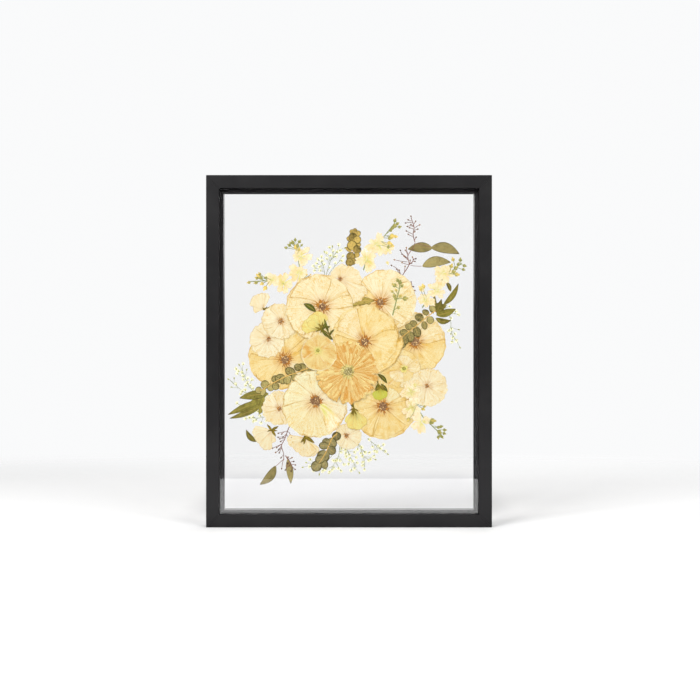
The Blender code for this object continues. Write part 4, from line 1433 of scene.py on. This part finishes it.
def add_fringed_bloom(node):
    """Rings of narrow petals with torn ends, round a tuft of pale green threads."""
    plant = Plant(node)
    eye = eye_of(plant, (0.05, 0.04))
    for number, share, layer, spread in FRINGE_RINGS:
        turns = np.arange(number) * 360 / number + plant.rng.uniform(-3, 3, number) + 5 * layer
        petals = [(turn, spread, share * plant.rng.uniform(0.92, 1.02), layer) for turn in turns]
        add_petals(
            plant, eye, petals, "amber", rim_reach(plant, eye), (4, 14), step=0.05, tilt=0.05,
            claw=0.6, corner=0.035, power=2.6, jag=0.035, ruffle=0.01, root=4.0, bend=0.12,
        )
    pale = two_tone("pale_threads", shade(226, 212, 140), shade(150, 132, 56), scale=900.0)
    green = two_tone("green_tops", shade(104, 88, 30), shade(240, 230, 170), scale=900.0)
    add_eye(plant, eye, core=8.0, reach=14.0, threads=90, thread_finish=pale, top_finish=green, lift=0.2, bead=1.6)
    return plant.make("fringed_petal")


def add_ranunculus(node, offset, stamens, petals):
    """A ranunculus: overlapping rounded petals about a green eye."""
    plant = Plant(node)
    eye = eye_of(plant, offset)
    add_petals(
        plant, eye, petals, "honey", rim_reach(plant, eye), (24, 22), step=0.04, tilt=0.03,
        claw=0.85, corner=0.06, power=4.0, ruffle=0.018, root=1.6,
    )
    green = two_tone("green_core", shade(120, 112, 44), shade(206, 200, 104), scale=900.0)
    add_eye(plant, eye, *stamens, green_eye_finish(), green, lift=0.18, bead=1.2)
    return plant.make("ranunculus_petal")


def add_calyx(plant, base, sepals, stalk_end, slim=0.3):
    """Sepals as small leaves from the base, a pressed cup under them, and the stalk."""
    rng = plant.rng
    finish = sepal_finish()
    tips = np.array(sepals)
    bow = rng.uniform(-0.12, 0.12, len(tips))
    widths = slim * np.linalg.norm(tips - base, axis=1)
    grids = blade_grids(np.tile(base, (len(tips), 1)), tips, widths, (4, 8), bow=bow, widest=0.7)
    grids[..., 1] += 0.22 + 0.03 * np.arange(len(tips))[:, None, None]
    plant.add_shells(grids, finish, rng.uniform(0, 1, len(tips)), in_mm("leaf"))
    heading = math.atan2(stalk_end[1] - base[1], stalk_end[0] - base[0])
    plant.add_beads((base[0], 0.1, base[1]), 4.4, 3.6, heading, finish, 0.4, sides=10, rings=5, flat=0.1)
    path = stalk_paths([base], [stalk_end], 0.05, 9, 0.08, rng)
    plant.add_tubes(path, np.linspace(0.9, 0.6, 7), stem_finish("sepal"), 0.3, sides=6, flat=0.4)


def add_half_bloom(node, base, petals, sepals, stalk_end):
    """A half bloom seen from the side: petals fanned above a calyx, and any leaves behind it."""
    plant = Plant(node)
    add_petals(
        plant, base, petals, "blush", own_reach, (24, 22),
        claw=0.9, corner=0.16, power=2.6, ruffle=0.018, waves=4, root=0.8,
    )
    add_calyx(plant, base, sepals, stalk_end)
    add_long_leaves(plant, HALF_BLOOM_LEAVES.get(node, ()), leaf_finish("dark"), cells=(8, 18))
    return plant.make("small_petal")


def add_bud(node, base, tint, petals, sepals, leaves, stalk_end):
    """A bud: folded petals above a calyx with small leaves."""
    plant = Plant(node)
    add_petals(
        plant, base, petals, tint, own_reach, (18, 20),
        claw=0.9, corner=0.26, power=2.4, ruffle=0.015, waves=3, root=0.6,
    )
    add_calyx(plant, base, sepals, stalk_end, slim=0.24)
    leaf = np.array(leaves)
    bow = plant.rng.uniform(-0.1, 0.1, len(leaf))
    grids = blade_grids(leaf[:, :2], leaf[:, 2:4], leaf[:, 4], (8, 16), bow=bow, cup=0.04)
    grids[..., 1] += 0.12 + 0.05 * np.arange(len(leaf))[:, None, None]
    plant.add_shells(grids, leaf_finish("fresh"), plant.rng.uniform(0, 1, len(leaf)), in_mm("leaf"))
    return plant.make("bud_petal")


# Sprigs ----------------------------------------------------------------------


def nearest_joint(path, place, back):
    """The path's point nearest to the place, and then back steps nearer the stem's foot."""
    distance = np.linalg.norm(path - np.asarray(place), axis=1)
    return path[max(0, int(distance.argmin()) - back)]


def stem_joints(paths, tips, back):
    """For each tip, the nearest point of any stem, a few steps nearer that stem's foot."""
    joined = np.concatenate(paths)
    order = np.concatenate([np.arange(len(path)) for path in paths])
    near = np.linalg.norm(tips[:, None] - joined[None], axis=2).argmin(axis=1)
    return joined[near - np.minimum(order[near], back)]


def add_eucalyptus(node, stem, stem_lift, tint, leaves):
    """Round leaves in layers along a stem, each turned outward from where it joins."""
    plant = Plant(node)
    path = smooth_path(stem, 40)
    finish, bark = leaf_finish(tint), stem_finish("gold_stem")
    plant.add_tubes(on_plane(path, stem_lift), np.linspace(0.8, 0.5, 38), bark, 0.1, sides=6, flat=0.4)
    for number, (right, up, half_length, half_width) in enumerate(leaves):
        middle = np.array([right, up])
        joint = nearest_joint(path, middle, 2)
        away = (middle - joint) / np.linalg.norm(middle - joint)
        grid = blade_grids(
            middle - away * half_length * 1.3, middle + away * half_length * 1.12, 2.5 * half_width, (12, 16),
            full=0.5, widest=0.95, tip=0.15, cup=0.01,
        )
        layer = -0.12 + 0.04 * number
        grid[..., 1] += layer + 0.012 * field(grid[..., 0], grid[..., 2], 6, plant.rng)
        plant.add_shells(grid, finish, plant.rng.uniform(0, 1), in_mm("leaf"))
        foot = on_plane(np.linspace(joint, middle - away * half_length * 0.9, 5), layer)
        plant.add_tubes(foot, 0.3, bark, 0.2, sides=4)
    return plant.make("eucalyptus_leaf")


def add_floret(plant, place, reach, lift):
    """A stock floret: two rounds of crumpled petals about a green-yellow eye."""
    rng = plant.rng
    for count, share, spread, height in ((7, 1.0, 54, 0.0), (5, 0.62, 62, 0.06)):
        turns = np.arange(count) * 360 / count + rng.uniform(0, 360) + rng.uniform(-14, 14, count)
        petals = [
            (turn, spread * rng.uniform(0.8, 1.15), reach * share * rng.uniform(0.66, 1.06), k % 2)
            for k, turn in enumerate(turns)
        ]
        add_petals(
            plant, place, petals, "milk", own_reach, (12, 10), step=0.03, tilt=0.05, lift=lift + height,
            claw=0.5, corner=0.4, power=2.2, notch=0.06, ruffle=0.05, waves=3, root=0.8, bend=0.25,
        )
    beads = 22
    turn = rng.uniform(0, FULL_TURN, beads)
    places = polar(place, reach * 0.15 * np.sqrt(rng.uniform(0, 1, beads)), turn, lift + 0.14)
    lengths, tones = rng.uniform(0.9, 1.6, beads), rng.uniform(0, 1, beads)
    plant.add_beads(places, lengths, 0.7, turn, green_eye_finish(), tones, sides=5, rings=2)


def add_stock(node, stem, florets, buds):
    """Florets along a stem, and long buds on short stalks: a bead with three sepals over it."""
    plant = Plant(node)
    rng = plant.rng
    bud_finish = two_tone("stock_buds", shade(142, 142, 80), shade(240, 206, 112), scale=500.0, clear=0.1)
    path = smooth_path(stem, 50)
    bark = stem_finish("pale_stem")
    plant.add_tubes(on_plane(path, -0.16), np.linspace(1.0, 0.6, 48), bark, 0.3, sides=6, flat=0.14)
    for number, (right, up, reach) in enumerate(florets):
        add_floret(plant, (right, up), reach, 0.03 * number)
    marks = np.array(buds)
    places, sizes, ripe = marks[:, :2], marks[:, 2], marks[:, 3]
    joints = stem_joints([path], places, 5)
    plant.add_tubes(stalk_paths(joints, places, 0.0, 7, 0.1, rng), 0.42, bark, 0.35, sides=4)
    away = headings(joints, places)
    beads = on_plane(places, 0.08)
    plant.add_beads(beads, sizes * 1.5, sizes * 0.66, away, bud_finish, ripe, sides=10, rings=6, flat=0.12)
    feet = places - 0.66 * sizes[:, None] * directions(away)
    for side in (-0.45, 0.0, 0.45):
        tips = feet + sizes[:, None] * directions(away + side)
        grids = blade_grids(feet, tips, sizes * 0.36, (4, 7), bow=side * 0.3)
        grids[..., 1] += 0.26
        plant.add_shells(grids, bud_finish, np.clip(ripe - 0.35, 0, 1), 0.06)
    return plant.make("stock_petal")


def add_breath(node, stems, florets, buds):
    """Hair-thin stems that fork to small fuzzy florets, each with a green cup under it."""
    plant = Plant(node)
    rng = plant.rng
    white = two_tone("breath_petals", settings().leaves.breath, shade(216, 212, 150), scale=1500.0, clear=0.2)
    cup = two_tone("breath_cups", shade(118, 120, 52), shade(176, 176, 96), scale=900.0)
    stem = stem_finish("pale_stem")
    paths = [smooth_path(points, 30) for points in stems]
    for path in paths:
        plant.add_tubes(on_plane(path, -0.05), np.linspace(0.4, 0.24, 28), stem, 0.25, sides=4)
    tips = np.array(florets + buds)
    joints = stem_joints(paths, tips, 5)
    stalks = stalk_paths(joints, tips, 0.0, 8, 0.12, rng)
    plant.add_tubes(stalks, np.linspace(0.26, 0.18, 6), stem, 0.25, sides=4)
    heading = headings(joints, tips)
    cups = on_plane(tips - directions(heading), 0.1)
    plant.add_beads(cups, 2.6, 1.9, heading, cup, rng.uniform(0, 1, len(tips)), sides=5, rings=3, flat=0.3)

    open_tips, open_heading = tips[: len(florets)], heading[: len(florets)]
    for ring, (count, reach, span) in enumerate(((9, 3.0, 2.3), (7, 2.0, 1.9))):
        fan = np.linspace(-span, span, count)[None, :] + rng.uniform(-0.2, 0.2, (len(open_tips), count))
        turn = open_heading[:, None] + fan
        size = (reach * rng.uniform(0.7, 1.1, turn.shape)).reshape(-1, 1)
        feet = np.repeat(open_tips, count, axis=0)
        outward = directions(turn).reshape(-1, 2)
        grids = blade_grids(
            feet + 0.2 * outward, feet + size * outward, 0.6 * size.ravel(), (2, 4), full=0.6, widest=1.3, tip=0.1
        )
        grids[..., 1] += 0.05 + 0.1 * ring + 0.04 * rng.uniform(-1, 1, len(grids))[:, None, None]
        plant.add_shells(grids, white, rng.uniform(0, 1, len(grids)) ** 2, 0.05)
    closed = slice(len(florets), None)
    plant.add_beads(on_plane(tips[closed]), 3.0, 2.0, heading[closed], cup, 0.9, sides=6, rings=4, flat=0.2)
    return plant.make("breath_floret")


def add_long_leaves(plant, leaves, finish, cells=(14, 30), first=0.0):
    """Pointed leaves with a groove along the midrib and a slight wave."""
    rng = plant.rng
    s = np.linspace(-1, 1, cells[0] + 1)[None, :, None]
    for number, (right, up, tip_right, tip_up, width, bow) in enumerate(leaves):
        grid = blade_grids(
            (right, up), (tip_right, tip_up), width, cells, bow=bow, widest=0.85, full=0.85, tip=0.18, cup=0.06
        )
        groove = -0.06 * np.exp(-((s / 0.12) ** 2))
        grid[..., 1] += first + (0.07, -0.04, 0.12)[number % 3] + groove
        grid[..., 1] += 0.03 * field(grid[..., 0], grid[..., 2], 9, rng)
        plant.add_shells(grid, finish, rng.uniform(0, 1), in_mm("leaf"))


def add_leaf_group(node, tint, leaves, lift):
    """A group of long leaves that is a plant of its own."""
    plant = Plant(node)
    add_long_leaves(plant, leaves, leaf_finish(tint), first=lift)
    return plant.make("dark_leaf")


def add_seeded(node, stems, seeds, leaves, stalks):
    """Mauve stems with a seed at the end of each short twig, and long khaki leaves."""
    plant = Plant(node)
    rng = plant.rng
    colours = settings().leaves
    stem = stem_finish("mauve_stem")
    seed = two_tone("seeds", colours.seed, shade(150, 112, 78), scale=700.0)
    add_long_leaves(plant, leaves, leaf_finish("khaki"), first=-0.1)
    paths = [smooth_path(points, 36) for points in stems]
    for path in paths:
        plant.add_tubes(on_plane(path, 0.12), np.linspace(0.8, 0.5, 34), stem, 0.2)
    for right, up, far_right, far_up in stalks:
        twig = stalk_paths([(right, up)], [(far_right, far_up)], 0.05, 10, 0.18, rng)
        plant.add_tubes(twig, 0.42, stem, 0.0)
    tips = np.array(seeds)
    joints = stem_joints(paths, tips, 3)
    plant.add_tubes(stalk_paths(joints, tips, 0.12, 7, 0.15, rng), 0.42, stem, 0.25, sides=4)
    heading, tones = headings(joints, tips), rng.uniform(0, 1, len(tips))
    plant.add_beads(on_plane(tips, 0.14), 3.0, 2.3, heading, seed, tones, sides=7, rings=5, flat=0.22)
    return plant.make("seeded_leaf")


# Stage -----------------------------------------------------------------------


def plane_object(name, low, high, height):
    """A flat floor from one corner to the other."""
    mesh = bpy.data.meshes.new(name)
    (left, near), (right, far) = low, high
    corners = [(left, near, height), (right, near, height), (right, far, height), (left, far, height)]
    mesh.from_pydata(corners, [], [(0, 1, 2, 3)])
    obj = bpy.data.objects.new(name, mesh)
    bpy.context.scene.collection.objects.link(obj)
    return obj


def floor_material():
    """Matte white, painted darker farther back and with a painted shadow behind the frame, that fades into the pale
    room far from it.
    """
    material, tree = blank_material("pale_floor")
    place = object_place(tree)
    ahead = add_node(tree, "VectorMath", {0: place, 1: (0.0, 0.9, 0.0)}, operation="ADD").outputs["Vector"]
    away = add_node(tree, "VectorMath", {0: ahead}, operation="LENGTH").outputs["Value"]
    parts = add_node(tree, "SeparateXYZ", {"Vector": place}).outputs
    depth, beside = parts["Y"], calc(tree, "ABSOLUTE", parts["X"])
    # Painted shade: darker from front to back
    white = mixed(tree, rise(tree, depth, 0.2, 1.4), FLOOR_NEAR_LIT, FLOOR_FAR_SHADED)
    # Painted shadow of the frame and its flowers on the floor behind them
    behind = times(tree, rise(tree, depth, -0.05, 0.25), rise(tree, depth, 1.1, 0.8))
    painted_shadow = times(tree, rise(tree, beside, 0.3, 0.22), behind)
    white = mixed(tree, painted_shadow, white, FLOOR_PAINTED_SHADOW)
    matte = add_node(tree, "BsdfDiffuse", {"Color": white}).outputs["BSDF"]
    through = add_node(tree, "BsdfTransparent").outputs["BSDF"]
    finish_material(tree, mixed_shader(tree, rise(tree, away, 1.7, 2.6), matte, through))
    return material


def painted_reflection_material(name, brightness):
    """A glowing plane that paints the lit table top's reflection in the glass, with painted shade that dims it close
    to the frame.
    """
    material, tree = blank_material(name)
    place = object_place(tree)
    inputs = {
        "Value": add_node(tree, "SeparateXYZ", {"Vector": place}).outputs["Y"],
        "From Min": FRONT_Y - TABLE_SHADE[0], "From Max": FRONT_Y - TABLE_SHADE[1],
        "To Min": SHADED_SHARE * brightness, "To Max": brightness,
    }
    lit = add_node(tree, "MapRange", inputs, interpolation_type="SMOOTHSTEP")
    glow = add_node(tree, "Emission", {"Color": ROOM_LIGHT, "Strength": lit.outputs["Result"]})
    finish_material(tree, glow.outputs["Emission"])
    return material


def only_mirrored(obj):
    """Hide the object from every ray but a mirror's."""
    for ray in ("camera", "diffuse", "transmission", "shadow"):
        setattr(obj, "visible_" + ray, False)


def add_softbox(name, place, target, size, power):
    """A rectangular light turned toward the target, and not seen itself."""
    light = bpy.data.lights.new(name, "AREA")
    light.shape = "RECTANGLE"
    light.size, light.size_y = size
    light.energy = power
    obj = bpy.data.objects.new(name, light)
    bpy.context.scene.collection.objects.link(obj)
    obj.location = place
    aim = np.array(target) - np.array(place)
    obj.rotation_euler = (math.atan2(math.hypot(aim[0], aim[1]), -aim[2]), 0, math.atan2(-aim[0], aim[1]))
    obj.visible_camera = False


def room_world():
    """Pale to the eye, dark in reflections, and a soft even light on matte surfaces."""
    world = bpy.data.worlds.new("pale_room")
    world.use_nodes = True
    tree = world.node_tree
    tree.nodes.clear()
    ray = add_node(tree, "LightPath")
    seen, even, dark = (
        add_node(tree, "Background", {"Color": colour, "Strength": strength}).outputs["Background"]
        for colour, strength in ((ROOM_SEEN, 1.0), (ROOM_LIGHT, settings().stage.room), (ROOM_MIRRORED, 1.0))
    )
    inner = mixed_shader(tree, ray.outputs["Is Glossy Ray"], even, dark)
    add_node(tree, "OutputWorld", {"Surface": mixed_shader(tree, ray.outputs["Is Camera Ray"], inner, seen)})
    bpy.context.scene.world = world


def add_stage():
    """The floor, the glowing table top that only mirrors show as a painted reflection, the lights, the room and the
    camera.
    """
    stage = settings().stage
    floor = plane_object("floor", *FLOOR_CORNERS, 0.0)
    floor.data.materials.append(floor_material())
    floor.visible_glossy = False
    # Painted reflection: glowing table planes that only the glass and the paint mirror
    for name, front, back, brightness in TABLE_PARTS:
        near, far = FRONT_Y - front * stage.table_edge, FRONT_Y - back * stage.table_edge
        table = plane_object(name, (-TABLE_HALF_WIDTH, near), (TABLE_HALF_WIDTH, far), -TABLE_DROP)
        table.data.materials.append(painted_reflection_material(name + "_glow", brightness))
        only_mirrored(table)
    for name, place, size in SOFTBOXES:
        add_softbox(name + "_light", place, (0, 0, MIDDLE_Z), size, getattr(stage, name))
    room_world()
    camera = bpy.data.cameras.new("camera")
    camera.lens = stage.lens
    camera.sensor_width = SENSOR_WIDTH
    obj = bpy.data.objects.new("camera", camera)
    bpy.context.scene.collection.objects.link(obj)
    obj.location = (stage.side_step, FRONT_Y - stage.distance, stage.eye_height)
    obj.rotation_euler = (math.pi / 2, 0, 0)
    bpy.context.scene.camera = obj
    bpy.context.scene.view_settings.view_transform = "Standard"


# Add-on ----------------------------------------------------------------------


class PressedFrameSettings(bpy.types.PropertyGroup):
    """Every setting of the pressed flower frame."""

    finish: bpy.props.PointerProperty(type=FrameFinish, name="Finish", description="Paint, glass and metal")
    petals: bpy.props.PointerProperty(type=PetalColours, name="Petals", description="Petal colours")
    leaves: bpy.props.PointerProperty(type=LeafColours, name="Leaves", description="Leaf and stem colours")
    sizes: bpy.props.PointerProperty(type=PlantSizes, name="Sizes", description="Thicknesses")
    stage: bpy.props.PointerProperty(type=StageSettings, name="Stage", description="Camera and lights")


class PRESSED_OT_frame(bpy.types.Operator):
    """Paint the rails and the strips behind the glass"""

    bl_idname = "pressed.frame"
    bl_label = "Painted Frame"

    def execute(self, context):
        look = settings().finish
        rails = painted_wood("rail_paint", look.paint)
        # The strips take the lighter paint, as painted light on the ledge behind the glass
        strips = painted_wood("strip_paint", look.lit_inner_paint, specular=0.5)
        for side in ("bottom", "left", "top", "right"):
            dress("rail_" + side, rails)
            dress("stop_" + side, strips)
        return {"FINISHED"}


class PRESSED_OT_panes(bpy.types.Operator):
    """Make both panes clear glass"""

    bl_idname = "pressed.panes"
    bl_label = "Glass Panes"

    def execute(self, context):
        glass = pane_glass("clear_pane")
        dress("glass_front", glass)
        dress("glass_back", glass)
        return {"FINISHED"}


class PRESSED_OT_hanger(bpy.types.Operator):
    """Finish the sawtooth hanger and its nails"""

    bl_idname = "pressed.hanger"
    bl_label = "Sawtooth Hanger"

    def execute(self, context):
        look = settings().finish
        dress("hanger", worn_metal("hanger_brass", look.hanger, shade(150, 118, 66)))
        steel = worn_metal("nail_steel", look.nail, shade(140, 140, 138))
        dress("hanger_nail_left", steel)
        dress("hanger_nail_right", steel)
        return {"FINISHED"}


class PRESSED_OT_roses(bpy.types.Operator):
    """Make the large open roses"""

    bl_idname = "pressed.roses"
    bl_label = "Roses"

    def execute(self, context):
        for rose in ROSES:
            add_rose(*rose)
        return {"FINISHED"}


class PRESSED_OT_fringed_bloom(bpy.types.Operator):
    """Make the fringed bloom of many narrow petals"""

    bl_idname = "pressed.fringed_bloom"
    bl_label = "Fringed Bloom"

    def execute(self, context):
        add_fringed_bloom("fringed_bloom")
        return {"FINISHED"}


class PRESSED_OT_ranunculus(bpy.types.Operator):
    """Make the two ranunculus"""

    bl_idname = "pressed.ranunculus"
    bl_label = "Ranunculus"

    def execute(self, context):
        for bloom in RANUNCULUS:
            add_ranunculus(*bloom)
        return {"FINISHED"}


class PRESSED_OT_small_blooms(bpy.types.Operator):
    """Make the small open blooms"""

    bl_idname = "pressed.small_blooms"
    bl_label = "Small Blooms"

    def execute(self, context):
        for bloom in SMALL_BLOOMS:
            add_small_bloom(*bloom)
        return {"FINISHED"}


class PRESSED_OT_half_blooms(bpy.types.Operator):
    """Make the half blooms seen from the side"""

    bl_idname = "pressed.half_blooms"
    bl_label = "Half Blooms"

    def execute(self, context):
        for bloom in HALF_BLOOMS:
            add_half_bloom(*bloom)
        return {"FINISHED"}


class PRESSED_OT_buds(bpy.types.Operator):
    """Make the three buds with their sepals and leaves"""

    bl_idname = "pressed.buds"
    bl_label = "Buds"

    def execute(self, context):
        for bud in BUDS:
            add_bud(*bud)
        return {"FINISHED"}


class PRESSED_OT_eucalyptus(bpy.types.Operator):
    """Make the sprigs of round-leaved eucalyptus"""

    bl_idname = "pressed.eucalyptus"
    bl_label = "Eucalyptus"

    def execute(self, context):
        for sprig in EUCALYPTUS:
            add_eucalyptus(*sprig)
        return {"FINISHED"}


class PRESSED_OT_stock(bpy.types.Operator):
    """Make the stock stems with their florets and buds"""

    bl_idname = "pressed.stock"
    bl_label = "Stock Stems"

    def execute(self, context):
        for stem in STOCK_STEMS:
            add_stock(*stem)
        return {"FINISHED"}


class PRESSED_OT_breath(bpy.types.Operator):
    """Make the sprays of baby's breath"""

    bl_idname = "pressed.breath"
    bl_label = "Baby's Breath"

    def execute(self, context):
        for spray in BREATH_SPRAYS:
            add_breath(*spray)
        return {"FINISHED"}


class PRESSED_OT_seeded(bpy.types.Operator):
    """Make the seeded eucalyptus sprigs"""

    bl_idname = "pressed.seeded"
    bl_label = "Seeded Eucalyptus"

    def execute(self, context):
        for sprig in SEEDED_SPRIGS:
            add_seeded(*sprig)
        return {"FINISHED"}


class PRESSED_OT_leaves(bpy.types.Operator):
    """Make the groups of long leaves"""

    bl_idname = "pressed.leaves"
    bl_label = "Long Leaves"

    def execute(self, context):
        for group in LEAF_GROUPS:
            add_leaf_group(*group)
        return {"FINISHED"}


class PRESSED_OT_stage(bpy.types.Operator):
    """Set the floor, lights, room and camera"""

    bl_idname = "pressed.stage"
    bl_label = "Stage"

    def execute(self, context):
        add_stage()
        return {"FINISHED"}


OPERATORS = (
    PRESSED_OT_frame,
    PRESSED_OT_panes,
    PRESSED_OT_hanger,
    PRESSED_OT_roses,
    PRESSED_OT_fringed_bloom,
    PRESSED_OT_ranunculus,
    PRESSED_OT_small_blooms,
    PRESSED_OT_half_blooms,
    PRESSED_OT_buds,
    PRESSED_OT_eucalyptus,
    PRESSED_OT_stock,
    PRESSED_OT_breath,
    PRESSED_OT_seeded,
    PRESSED_OT_leaves,
    PRESSED_OT_stage,
)


class PRESSED_PT_panel(bpy.types.Panel):
    """Sidebar panel with each step and the settings"""

    bl_idname = "PRESSED_PT_panel"
    bl_label = "Pressed Flower Frame"
    bl_space_type = "VIEW_3D"
    bl_region_type = "UI"
    bl_category = "Pressed Frame"

    def draw(self, context):
        column = self.layout.column(align=True)
        for operator in OPERATORS:
            column.operator(operator.bl_idname)
        groups = context.scene.pressed_frame
        for name in ("finish", "petals", "leaves", "sizes", "stage"):
            group = getattr(groups, name)
            box = self.layout.box()
            for setting in group.__annotations__:
                box.prop(group, setting)


CLASSES = (
    FrameFinish,
    PetalColours,
    LeafColours,
    PlantSizes,
    StageSettings,
    PressedFrameSettings,
    *OPERATORS,
    PRESSED_PT_panel,
)


def register():
    for made in CLASSES:
        bpy.utils.register_class(made)
    bpy.types.Scene.pressed_frame = bpy.props.PointerProperty(type=PressedFrameSettings)


def unregister():
    del bpy.types.Scene.pressed_frame
    for made in reversed(CLASSES):
        bpy.utils.unregister_class(made)


def main():
    register()
    for operator in OPERATORS:
        group, name = operator.bl_idname.split(".")
        getattr(getattr(bpy.ops, group), name)()


if __name__ == "__main__":
    main()
